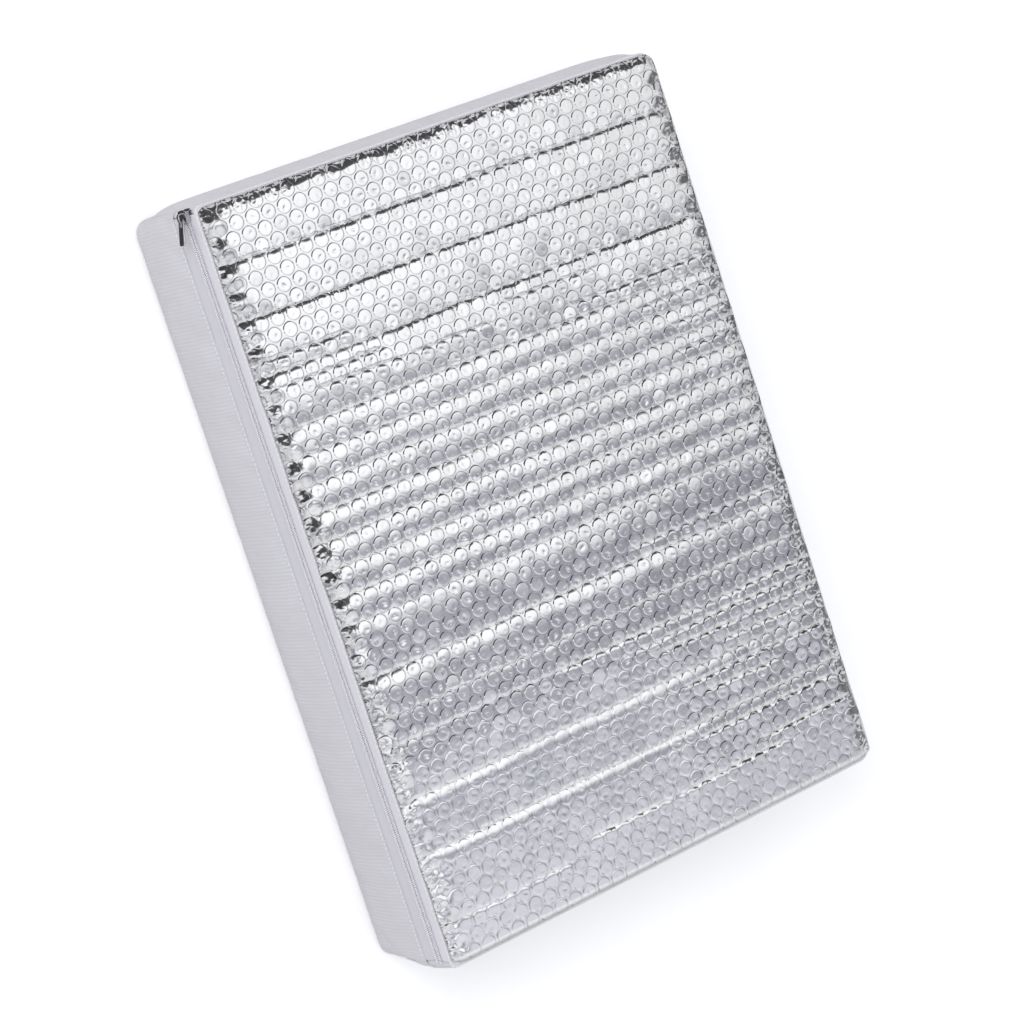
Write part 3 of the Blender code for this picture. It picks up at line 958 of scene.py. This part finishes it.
TAPE_UPPER, TAPE_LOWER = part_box("zip_tape_upper"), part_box("zip_tape_lower")
TAPE_X = TAPE_LOWER[0].x
TAPE = 0.6 * MM
TAPE_RIPPLE = 0.12 * MM
TAPE_MEETS_SEAM = 0.8 * MM
TAPE_MEETS_HEM = 1.45 * MM
COIL_PITCH = 1.3 * MM
COIL_WIRE = 0.3 * MM
COIL_TURN_PARTS = 12
THREAD = 0.24 * MM
STITCH = 2.5 * MM
STITCH_PITCH = 3.3 * MM


def tape_x(z):
    """X of the tapes' outer face: flat where the slider runs, meeting the hem and the seam."""
    above = smoothstep(SLIDER_HIGH.z + 0.6 * MM, WALL_HIGH + 3 * MM, z)
    below = 1 - smoothstep(HEM_TOP + 0.4 * MM, SLIDER_LOW.z - 1.5 * MM, z)
    return TAPE_X + TAPE_MEETS_SEAM * above - TAPE_MEETS_HEM * below


def make_tape(name, node, low, high):
    """A woven tape along the zip; it ripples slightly where the slider doesn't pass."""
    ys = np.linspace(TAPE_LOWER[1].y, TAPE_LOWER[0].y, 125)
    zs = np.linspace(low, high, 16)
    y, z = np.meshgrid(ys, zs)
    clear_low, clear_high = SLIDER_LOW.z - 1 * MM, SLIDER_HIGH.z + 1 * MM
    swept = smoothstep(clear_low - 2 * MM, clear_low, z)
    swept = swept * (1 - smoothstep(clear_high, clear_high + 2 * MM, z))
    x = tape_x(z) - TAPE_RIPPLE * (1 - swept) * waves(y, z, 30 * MM, SEED + 12)
    points = np.column_stack([x.ravel(), y.ravel(), z.ravel()])
    faces = grid_faces(len(zs), len(ys))
    piece = cover_piece(name, node, points, faces, points[:, 1:])
    add_thickness(piece, TAPE)
    return piece


def tube(centres, normals, radius, sides=6):
    """Points and faces of a round tube along centres; normals stand across its path."""
    tangents = np.gradient(centres, axis=0)
    tangents /= np.linalg.norm(tangents, axis=1)[:, None]
    across = np.cross(tangents, normals)
    across /= np.linalg.norm(across, axis=1)[:, None]
    upright = np.cross(across, tangents)
    turn = np.arange(sides) / sides * 2 * math.pi
    radius = np.broadcast_to(radius, len(centres))
    rings = (
        centres[:, None]
        + upright[:, None] * (np.cos(turn)[None, :, None] * radius[:, None, None])
        + across[:, None] * (np.sin(turn)[None, :, None] * radius[:, None, None])
    )
    at = np.arange(sides)
    after = (at + 1) % sides
    start = np.arange(len(centres) - 1)[:, None] * sides
    corners = [start + at, start + after, start + sides + after, start + sides + at]
    quads = np.stack(corners, axis=2)
    return rings.reshape(-1, 3), quads.reshape(-1, 4)[:, ::-1]


def make_coil(name, node):
    """The zip's coil as a wound wire beside the zip's centre line."""
    low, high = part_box(node)
    centre_x, centre_z = (low.x + high.x) / 2, (low.z + high.z) / 2
    reach_x = (high.x - low.x) / 2 - COIL_WIRE
    reach_z = (high.z - low.z) / 2 - COIL_WIRE + 0.15 * MM
    turns = (high.y - low.y) / COIL_PITCH
    angle = np.arange(int(turns * COIL_TURN_PARTS)) / COIL_TURN_PARTS * 2 * math.pi
    c, s = np.cos(angle), np.sin(angle)
    y = low.y + angle / (2 * math.pi) * COIL_PITCH
    centres = np.column_stack([centre_x - reach_x * c, y, centre_z + reach_z * s])
    normals = np.column_stack([-c, 0 * c, s])
    points, quads = tube(centres, normals, COIL_WIRE)
    data = big_mesh(name, points, quads, crisp=False)
    return register(name, data, "cover", [node])


def stitch_row(name, node, x, y, z, out, closed=False):
    """Lock stitches along a path: short threads that dip into the cloth at both ends.

    Each of x, y and z is one number or one per point; out is the way the cloth faces.
    """
    path = np.column_stack(np.broadcast_arrays(x, y, z))
    ends = np.vstack([path, path[:1]]) if closed else path
    length = np.concatenate([[0], np.cumsum(np.linalg.norm(np.diff(ends, axis=0), axis=1))])
    starts = np.arange(STITCH_PITCH / 2, length[-1] - STITCH_PITCH / 2, STITCH_PITCH)
    t = np.linspace(-1, 1, 7)
    lift = THREAD * (0.7 - 1.9 * t**4)
    radius = THREAD * np.array([0.45, 0.85, 1, 1, 1, 0.85, 0.45])
    normal = np.tile(np.array(out, float), (len(t), 1))
    all_points, all_quads = [], []
    for middle in starts:
        at = middle + t * STITCH / 2
        centre = np.column_stack([np.interp(at, length, ends[:, k]) for k in range(3)])
        points, quads = tube(centre + normal * lift[:, None], normal, radius)
        all_quads.append(quads + len(all_points) * len(points))
        all_points.append(points)
    data = big_mesh(name, np.concatenate(all_points), np.concatenate(all_quads), crisp=False)
    paint(register(name, data, "cover", [node]), bpy.data.materials["thread"])


def make_stitching():
    """Stitches of the hem, the upper tape, the binding and the hidden seams inside."""
    plain_material("thread", grey(0.70, 0.03), 0.6, 0.0, 2500.0, 0.03 * MM)
    reach = TAPE_LOWER[1].y - 2 * MM
    ys = np.linspace(reach, -reach, 60)
    out, up = (-1, 0, 0), (0, 0, 1)
    z = HEM_TOP - HEM_WIDTH / 2
    x = -HALF_WIDTH + float(wall_inset(z)) - HEM_RISE
    stitch_row("hem_stitches", "zip_stitch_lower", x, ys, z, out)
    z = TAPE_UPPER[1].z - 2.2 * MM
    stitch_row("tape_stitches", "zip_stitch_upper", float(tape_x(z)), ys, z, out)
    x, y = (PLAN[:, :2] - PLAN[:, 2:4] * 1.4 * MM).T
    stitch_row("binding_stitches", "binding_stitch", x, y, SEAM_TOP + 0.03 * MM, up, True)
    x, y = inward_rings(4.2 * MM, (0.012,))[0].T
    stitch_row("back_seam_stitches", "back_seam_stitch", x, y, 2.6 * MM, up, True)
    zs = np.linspace(6 * MM, SEAM_TOP - 6 * MM, 30)
    for name, sign in (("head", 1), ("foot", -1)):
        column = ZIP_FOOT_START + ARC_PARTS if sign < 0 else 0
        inset = wall_inset(zs) - wall_bulge(zs) * BULGE_SHARES[column] + FABRIC + 1.3 * MM
        y = sign * (HALF_LENGTH - inset)
        x = ZIP_CORNER - HALF_WIDTH + 1 * MM
        stitch_row(f"corner_stitches_{name}", f"corner_stitch_{name}", x, y, zs, (0, -sign, 0))


def make_zip():
    """Both tapes and both coils."""
    # Both tapes are one cloth: their two greys are painted light and shade, the upper tape lighter
    # as it tilts up towards the light.
    lower = make_tape("lower_zip_tape", "zip_tape_lower", HEM_TOP - 1.8 * MM, TAPE_LOWER[1].z)
    paint(lower, tape_material("lower_tape", 0.62))
    upper = make_tape("upper_zip_tape", "zip_tape_upper", TAPE_UPPER[0].z, WALL_HIGH)
    paint(upper, tape_material("upper_tape", 0.72))
    # The coil is painted a lighter grey than the tapes to offset the shade between its turns:
    # painted light.
    wire = plain_material("coil", grey(0.92, 0.02), 0.45, 0.0, 800.0)
    paint(make_coil("lower_coil", "zip_coil_lower"), wire)
    paint(make_coil("upper_coil", "zip_coil_upper"), wire)


# ------------------------------------------------------------------ slider and pull


PULL_PIVOT = next(Vector(j["pos_m"]) for j in frame["joints"] if j["name"] == "pull_flip")
PULL_REST = math.radians(17)
PULL_LENGTH = 16.6 * MM
PULL_WIDTH = 6.2 * MM
PULL_THICK = 1.2 * MM
PLATE = 1.0 * MM
BRIDGE_WIDTH = 2.0 * MM
EYE_AT = 2.8 * MM
EYE_HALF_LONG = 2.15 * MM
EYE_HALF_WIDE = 1.35 * MM
PULL_BEHIND_PIVOT = 0.65 * MM


def prism(outline, low, high, hole=None):
    """Points (height, a, b) and faces of an outline given thickness, with an optional hole."""
    count = len(outline)
    loops = [outline] if hole is None else [outline, hole]
    points = [(h, *p) for loop in loops for h in (low, high) for p in loop]
    faces = []
    for at in range(count):
        after = (at + 1) % count
        faces.append((at, after, count + after, count + at))
        if hole is not None:
            a, b = 2 * count, 3 * count
            faces.append((a + after, a + at, b + at, b + after))
            faces.append((at, a + at, a + after, after))
            faces.append((count + at, count + after, b + after, b + at))
    if hole is None:
        faces.append(tuple(range(count))[::-1])
        faces.append(tuple(range(count, 2 * count)))
    return points, faces


def join_solids(solids):
    """Points and faces of several solids as one mesh."""
    points, faces = [], []
    for more_points, more_faces in solids:
        start = len(points)
        points += more_points
        faces += [tuple(start + corner for corner in face) for face in more_faces]
    return points, faces


def bar_arch(reach, foot, top, thick, width, parts=14):
    """The slider's bridge: a flat bar bent into an arch, as (height, along, across)."""
    centre = []
    for part in range(parts + 1):
        angle = math.pi * part / parts
        c, s = math.cos(angle), math.sin(angle)
        a = -(reach - thick / 2) * math.copysign(abs(c) ** 0.6, c)
        centre.append((foot + (top - thick / 2 - foot) * abs(s) ** 0.6, a))
    points, faces = [], []
    for index, (h, a) in enumerate(centre):
        before, after = centre[max(index - 1, 0)], centre[min(index + 1, parts)]
        way = Vector((after[0] - before[0], after[1] - before[1])).normalized()
        out = Vector((way.y, -way.x)) * thick / 2
        for sign, side in ((1, 1), (1, -1), (-1, -1), (-1, 1)):
            points.append((h + sign * out.x, a + sign * out.y, side * width / 2))
    for index in range(parts):
        for at in range(4):
            a, b = index * 4 + at, index * 4 + (at + 1) % 4
            faces.append((a, b, b + 4, a + 4))
    faces += [(3, 2, 1, 0), tuple(parts * 4 + at for at in range(4))]
    return points, faces


def metal_piece(name, node, body, points, faces, material):
    """A cast metal piece with small rounded edges."""
    piece = make_piece(name, points, faces, body, [node])
    edge = piece.modifiers.new("edge", "BEVEL")
    edge.width = 0.2 * MM
    edge.segments = 3
    edge.limit_method = "ANGLE"
    edge.angle_limit = math.radians(35)
    paint(piece, material)


def make_slider(material):
    """Two shaped plates, side flanges, the post between the coils, and the bridge."""
    high_x = TAPE_X
    middle_y = (SLIDER_LOW.y + SLIDER_HIGH.y) / 2
    middle_z = (SLIDER_LOW.z + SLIDER_HIGH.z) / 2
    half_long = (SLIDER_HIGH.y - SLIDER_LOW.y) / 2
    half_wide = (SLIDER_HIGH.z - SLIDER_LOW.z) / 2
    plate_high = high_x - PULL_PIVOT.x - 1.2 * MM
    plate_low = plate_high - PLATE
    back_high = high_x - SLIDER_HIGH.x + PLATE

    def narrowing(a):
        return half_wide * (1 - 0.24 * float(smoothstep(-0.2, 1.0, a / half_long)))

    outline = superellipse(40, half_long, narrowing, 0.55)
    solids = [prism(outline, plate_low, plate_high), prism(outline, back_high - PLATE, back_high)]
    for sign in (1, -1):
        wall = []
        for part in range(9):
            a = -0.74 * half_long + 1.40 * half_long * part / 8
            wall.append((a, sign * (narrowing(a) - 0.05 * MM)))
        inner = [(a, b - sign * 1.0 * MM) for a, b in reversed(wall)]
        ring = wall + inner
        solids.append(prism(ring if sign < 0 else ring[::-1], 0.3 * MM, plate_low + PLATE / 2))
    post = superellipse(12, 0.8 * MM, 0.45 * MM, 0.6)
    post = [(a - half_long + 2.0 * MM, b) for a, b in post]
    solids.append(prism(post, back_high - PLATE / 2, plate_low + PLATE / 2))
    top = high_x - SLIDER_LOW.x
    solids.append(bar_arch(3.2 * MM, plate_high - PLATE / 2, top, PLATE, BRIDGE_WIDTH))
    points, faces = join_solids(solids)
    places = [(high_x - h, middle_y - a, middle_z + b) for h, a, b in points]
    metal_piece("zip_slider", "slider_body", "slider", places, faces, material)


def make_pull(material):
    """The flat pull plate; its eye runs round the slider's bridge."""
    half = PULL_LENGTH / 2
    middle = half - PULL_BEHIND_PIVOT
    outline = [(a + middle, b) for a, b in superellipse(48, half, PULL_WIDTH / 2, 0.22)]
    eye = [(a + EYE_AT, b) for a, b in superellipse(48, EYE_HALF_LONG, EYE_HALF_WIDE, 0.35)]
    points, faces = prism(outline, -PULL_THICK / 2, PULL_THICK / 2, eye)
    c, s = math.cos(PULL_REST), math.sin(PULL_REST)
    along, outwards = Vector((-s, -c, 0)), Vector((-c, s, 0))
    places = [PULL_PIVOT + along * a + outwards * h + Vector((0, 0, b)) for h, a, b in points]
    metal_piece("zip_pull", "pull_tab", "pull", places, faces, material)


# ------------------------------------------------------------------ materials


class Nodes:
    """A short way to write a node tree: each call adds a node and links or sets its inputs."""

    def __init__(self, tree):
        self.tree = tree

    def add(self, kind, inputs=None, **settings):
        node = self.tree.nodes.new(kind)
        for key, value in settings.items():
            setattr(node, key, value)
        self.fill(node, inputs or {})
        return node

    def fill(self, node, inputs):
        for key, value in inputs.items():
            self.set(node.inputs[key], value)

    def set(self, socket, value):
        if isinstance(value, bpy.types.NodeSocket):
            self.tree.links.new(value, socket)
        else:
            socket.default_value = value

    def maths(self, operation, a, b=0.0, c=None):
        inputs = {0: a, 1: b}
        if c is not None:
            inputs[2] = c
        return self.add("ShaderNodeMath", inputs, operation=operation).outputs[0]

    def noise(self, vector, scale, detail=3.0, roughness=0.5):
        inputs = {"Vector": vector, "Scale": scale, "Detail": detail, "Roughness": roughness}
        return self.add("ShaderNodeTexNoise", inputs).outputs["Fac"]

    def between(self, value, low, high, to_low, to_high, kind="LINEAR"):
        keys = ("Value", "From Min", "From Max", "To Min", "To Max")
        inputs = dict(zip(keys, (value, low, high, to_low, to_high)))
        return self.add("ShaderNodeMapRange", inputs, interpolation_type=kind).outputs[0]

    def mix(self, fac, a, b):
        return self.add("ShaderNodeMix", {0: fac, 6: a, 7: b}, data_type="RGBA").outputs[2]

    def bump(self, shader, height, strength, depth):
        inputs = {"Height": height, "Strength": strength, "Distance": depth}
        self.fill(shader, {"Normal": self.add("ShaderNodeBump", inputs).outputs[0]})

    def place(self):
        return self.add("ShaderNodeTexCoord").outputs["Object"]

    def parts(self, vector):
        return self.add("ShaderNodeSeparateXYZ", {0: vector}).outputs

    def ramp(self, fac, stops, kind="LINEAR"):
        node = self.add("ShaderNodeValToRGB", {"Fac": fac})
        node.color_ramp.interpolation = kind
        elements = node.color_ramp.elements
        while len(elements) < len(stops):
            elements.new(0.5)
        for element, (place, value) in zip(elements, stops):
            element.position = place
            colour = value if isinstance(value, tuple) else (value,) * 3
            element.color = (*colour, 1)
        return node.outputs["Color"]


def new_material(name):
    """A material whose tree holds only a Principled shader."""
    material = bpy.data.materials.new(name)
    material.use_nodes = True
    return material, Nodes(material.node_tree), material.node_tree.nodes["Principled BSDF"]


def grey(value, tint=0.0):
    """A grey leaning to lavender by tint."""
    return (value, value * (1 - tint * 0.35), value * (1 + tint), 1)


def dimmed(colour, share):
    return tuple(c * share for c in colour[:3]) + (1,)


def foil_material():
    """Metallised film: bright and slightly uneven, with painted shade on the bubbles' rims and in
    the crushed bands by the seams.
    """
    material, nodes, shader = new_material("foil")
    place = nodes.place()
    soft = nodes.noise(place, 60.0, 3.0)
    fine = nodes.noise(place, 420.0, 4.0, 0.6)
    painted_shade = nodes.add("ShaderNodeAttribute", attribute_name="painted_shade").outputs["Fac"]
    bright = nodes.mix(soft, (0.797, 0.80, 0.825, 1), (0.857, 0.86, 0.882, 1))
    painted_shade_amount = nodes.maths("MULTIPLY", painted_shade, nodes.between(fine, 0.3, 0.7, 0.6, 1.0))
    # Painted shade: the colour goes towards dark grey by the painted shade attribute.
    colour = nodes.mix(painted_shade_amount, bright, (0.15, 0.15, 0.165, 1))
    rough = nodes.between(soft, 0.3, 0.7, 0.07, 0.13)
    nodes.fill(shader, {"Base Color": colour, "Metallic": 1.0, "Roughness": rough})
    nodes.bump(shader, fine, 0.3, 0.05 * MM)
    return material


def cloth_weave(nodes, period):
    """A square weave over the cloth's own coordinates, between 0 and 1."""
    place = nodes.add("ShaderNodeUVMap", uv_map="cloth").outputs[0]
    u, v, _ = nodes.parts(place)
    turn = 2 * math.pi / period
    across = nodes.maths("SINE", nodes.maths("MULTIPLY", u, turn))
    along = nodes.maths("SINE", nodes.maths("MULTIPLY", v, turn * 1.4))
    ribs = nodes.maths("MULTIPLY_ADD", across, 0.24, 0.5)
    return nodes.maths("MULTIPLY_ADD", along, 0.2, ribs), place


def fabric_material(name, colour, period, bump_depth, contrast):
    """Matt woven cloth: weave period and bump depth in metres, contrast between its threads."""
    material, nodes, shader = new_material(name)
    weave, place = cloth_weave(nodes, period)
    blotch = nodes.noise(place, 30.0, 3.0)
    fibres = nodes.noise(place, 900.0, 2.0, 0.6)
    dark = dimmed(colour, 1 - contrast)
    woven = nodes.mix(weave, dark, colour)
    shade = nodes.mix(nodes.between(blotch, 0.35, 0.65, 0.0, 0.4), woven, dark)
    rough = nodes.between(fibres, 0.3, 0.7, 0.72, 0.9)
    nodes.fill(shader, {"Base Color": shade, "Roughness": rough, "Sheen Weight": 0.15})
    nodes.bump(shader, nodes.maths("MULTIPLY_ADD", fibres, 0.35, weave), 0.7, bump_depth)
    return material


def foam_material():
    """Open-cell foam: small round pores in a warm white skin."""
    material, nodes, shader = new_material("foam")
    place = nodes.place()
    pores = nodes.add("ShaderNodeTexVoronoi", {"Vector": place, "Scale": 700.0}).outputs["Distance"]
    # The pores are darker towards their middles: painted shade in their hollows.
    warm, deep = (0.80, 0.76, 0.62, 1), (0.58, 0.53, 0.40, 1)
    depth = nodes.between(pores, 0.0, 0.45, 0.0, 1.0)
    nodes.fill(shader, {"Base Color": nodes.mix(depth, deep, warm), "Roughness": 0.95})
    nodes.bump(shader, depth, 0.8, 0.4 * MM)
    return material


def tape_material(name, value):
    """Zip tape: fine ribs along the tape, crossed by a slight twill."""
    material, nodes, shader = new_material(name)
    place = nodes.place()
    _, y, z = nodes.parts(place)
    rib = nodes.maths("SINE", nodes.maths("MULTIPLY", z, 2 * math.pi / (0.9 * MM)))
    slant = nodes.maths("ADD", y, z)
    twill = nodes.maths("SINE", nodes.maths("MULTIPLY", slant, 2 * math.pi / (0.7 * MM)))
    woven = nodes.maths("MULTIPLY_ADD", nodes.maths("ADD", rib, twill), 0.25, 0.5)
    colour = nodes.mix(woven, grey(value * 0.9, 0.04), grey(value, 0.04))
    nodes.fill(shader, {"Base Color": colour, "Roughness": 0.7})
    nodes.bump(shader, woven, 0.4, 0.12 * MM)
    return material


def plain_material(name, colour, roughness, metallic=0.0, scale=300.0, depth=0.05 * MM):
    """One colour with slight variation and a fine grain."""
    material, nodes, shader = new_material(name)
    place = nodes.place()
    grain = nodes.noise(place, scale, 3.0)
    shade = nodes.mix(grain, dimmed(colour, 0.92), colour)
    spread = roughness * 0.2
    rough = nodes.between(grain, 0.3, 0.7, roughness - spread, roughness + spread)
    nodes.fill(shader, {"Base Color": shade, "Metallic": metallic, "Roughness": rough})
    nodes.bump(shader, grain, 0.3, depth)
    return material


def paint(piece, material):
    """Gives a piece one material."""
    piece.data.materials.clear()
    piece.data.materials.append(material)


# ------------------------------------------------------------------ studio


CAMERA_AT = Vector((-1.0422, 0.3034, 1.8284))
CAMERA_LOOKS = Vector((0.49689, -0.14813, -0.85508))
CAMERA_UP = Vector((0.34102, 0.93939, 0.03544))
LENS = 112.2
LIGHT_AT = Vector((-1.6, 1.2, 2.4))
LIGHT_SIZE = 1.6
LIGHT_POWER = 30
HALF_FLOOR = 4.0
FLOOR_GLOW = 0.2


def make_camera():
    data = bpy.data.cameras.new("camera")
    data.lens = LENS
    camera = bpy.data.objects.new("camera", data)
    right = CAMERA_LOOKS.cross(CAMERA_UP).normalized()
    up = right.cross(CAMERA_LOOKS)
    turn = Matrix((right, up, -CAMERA_LOOKS)).transposed().to_4x4()
    camera.matrix_world = Matrix.Translation(CAMERA_AT) @ turn
    bpy.context.scene.collection.objects.link(camera)
    bpy.context.scene.camera = camera


SKY = (0.95, 0.96, 1.0, 1)
BLACK = (0, 0, 0, 1)
SKY_STRENGTH = 0.85
MIRROR_STRENGTH = 1.25
LOW_SKY = ((0.0, 0.76), (1.0, 0.62))
SLIT_DARK = 0.7
MIRROR_REACH = 0.5
# What the foil mirrors high up, by the Y part of the direction: bright overhead, grey towards
# the foot, dark towards the head
MIRRORED = (
    (-0.50, 0.80),
    (-0.36, 0.72),
    (-0.27, (0.66, 0.665, 0.70)),
    (-0.228, (0.63, 0.635, 0.67)),
    (-0.212, (0.52, 0.525, 0.56)),
    (-0.195, (0.32, 0.325, 0.36)),
    (-0.165, (0.32, 0.325, 0.36)),
    (-0.140, (0.48, 0.485, 0.51)),
    (-0.112, (0.68, 0.685, 0.70)),
    (-0.080, 0.93),
    (-0.040, 0.98),
    (0.100, 1.0),
    (0.170, 0.40),
    (0.250, 0.10),
    (0.500, 0.06),
)


def make_world():
    """Soft white light, and a sky of bright and dark bands that only polished faces mirror."""
    world = bpy.data.worlds.new("studio")
    bpy.context.scene.world = world
    world.use_nodes = True
    nodes = Nodes(world.node_tree)
    ground = world.node_tree.nodes["Background"]
    way = nodes.add("ShaderNodeTexCoord").outputs["Generated"]
    x, y, z = nodes.parts(way)
    place = nodes.between(y, -MIRROR_REACH, MIRROR_REACH, 0.0, 1.0)
    stops = [((at + MIRROR_REACH) / (2 * MIRROR_REACH), value) for at, value in MIRRORED]
    bands = nodes.ramp(place, stops, "EASE")
    far = nodes.between(x, 0.45, 0.60, 1.0, 0.74, "SMOOTHSTEP")
    high_sky = nodes.mix(far, BLACK, bands)
    low_sky = nodes.ramp(nodes.between(x, -0.3, 0.3, 0.0, 1.0), LOW_SKY)
    lower = nodes.between(z, 0.40, 0.58, 1.0, 0.0, "SMOOTHSTEP")
    sky = nodes.mix(lower, high_sky, low_sky)
    # A dark slit low on the far side, which the rolled far edge mirrors
    slit = nodes.between(x, 0.60, 0.88, 0.0, SLIT_DARK, "SMOOTHSTEP")
    slit = nodes.maths("MULTIPLY", slit, nodes.between(y, -0.30, -0.22, 0.0, 1.0, "SMOOTHSTEP"))
    slit = nodes.maths("MULTIPLY", slit, nodes.between(y, -0.08, 0.0, 1.0, 0.0, "SMOOTHSTEP"))
    mirrored = nodes.mix(slit, sky, BLACK)
    glossy = nodes.add("ShaderNodeLightPath").outputs["Is Glossy Ray"]
    strength = nodes.between(glossy, 0.0, 1.0, SKY_STRENGTH, MIRROR_STRENGTH)
    nodes.fill(ground, {"Color": nodes.mix(glossy, SKY, mirrored), "Strength": strength})


def make_key_light():
    """One large soft light over the head end, pointed at the middle of the pad."""
    data = bpy.data.lights.new("key", "AREA")
    data.size = LIGHT_SIZE
    data.energy = LIGHT_POWER
    lamp = bpy.data.objects.new("key", data)
    lamp.location = LIGHT_AT
    lamp.rotation_mode = "QUATERNION"
    lamp.rotation_quaternion = (-LIGHT_AT).to_track_quat("-Z", "Y")
    bpy.context.scene.collection.objects.link(lamp)
    lamp.visible_glossy = False


def floor_material():
    """A pale, faintly lit floor that polished faces mirror as dark, except past the foot end."""
    material, nodes, shader = new_material("floor")
    rays = nodes.add("ShaderNodeLightPath")
    place = nodes.place()
    pale = nodes.mix(nodes.noise(place, 12.0), grey(0.88), grey(0.92))
    _, y, _ = nodes.parts(place)
    past_foot = nodes.between(y, -HALF_LENGTH - 0.03, -HALF_LENGTH + 0.01, 1.0, 0.0)
    mirrored = nodes.mix(past_foot, grey(0.06), grey(0.55))
    shown = nodes.mix(rays.outputs["Is Glossy Ray"], pale, mirrored)
    glow = nodes.maths("MULTIPLY", rays.outputs["Is Camera Ray"], FLOOR_GLOW)
    nodes.fill(shader, {"Base Color": shown, "Roughness": 0.9})
    nodes.fill(shader, {"Emission Color": (1, 1, 1, 1), "Emission Strength": glow})
    return material


def make_studio():
    make_camera()
    make_world()
    make_key_light()
    signs = ((-1, -1), (1, -1), (1, 1), (-1, 1))
    corners = [(x * HALF_FLOOR, y * HALF_FLOOR, 0) for x, y in signs]
    data = bpy.data.meshes.new("floor")
    data.from_pydata(corners, [], [(0, 1, 2, 3)])
    floor = bpy.data.objects.new("floor", data)
    bpy.context.scene.collection.objects.link(floor)
    paint(floor, floor_material())
    bpy.context.scene.view_settings.view_transform = "Standard"


def build():
    make_laminate()
    make_cover()
    make_binding()
    make_foam()
    make_zip()
    make_stitching()
    chrome = plain_material("chrome", grey(0.60, 0.03), 0.14, 1.0, 500.0, 0.02 * MM)
    make_slider(chrome)
    make_pull(chrome)
    make_studio()


build()
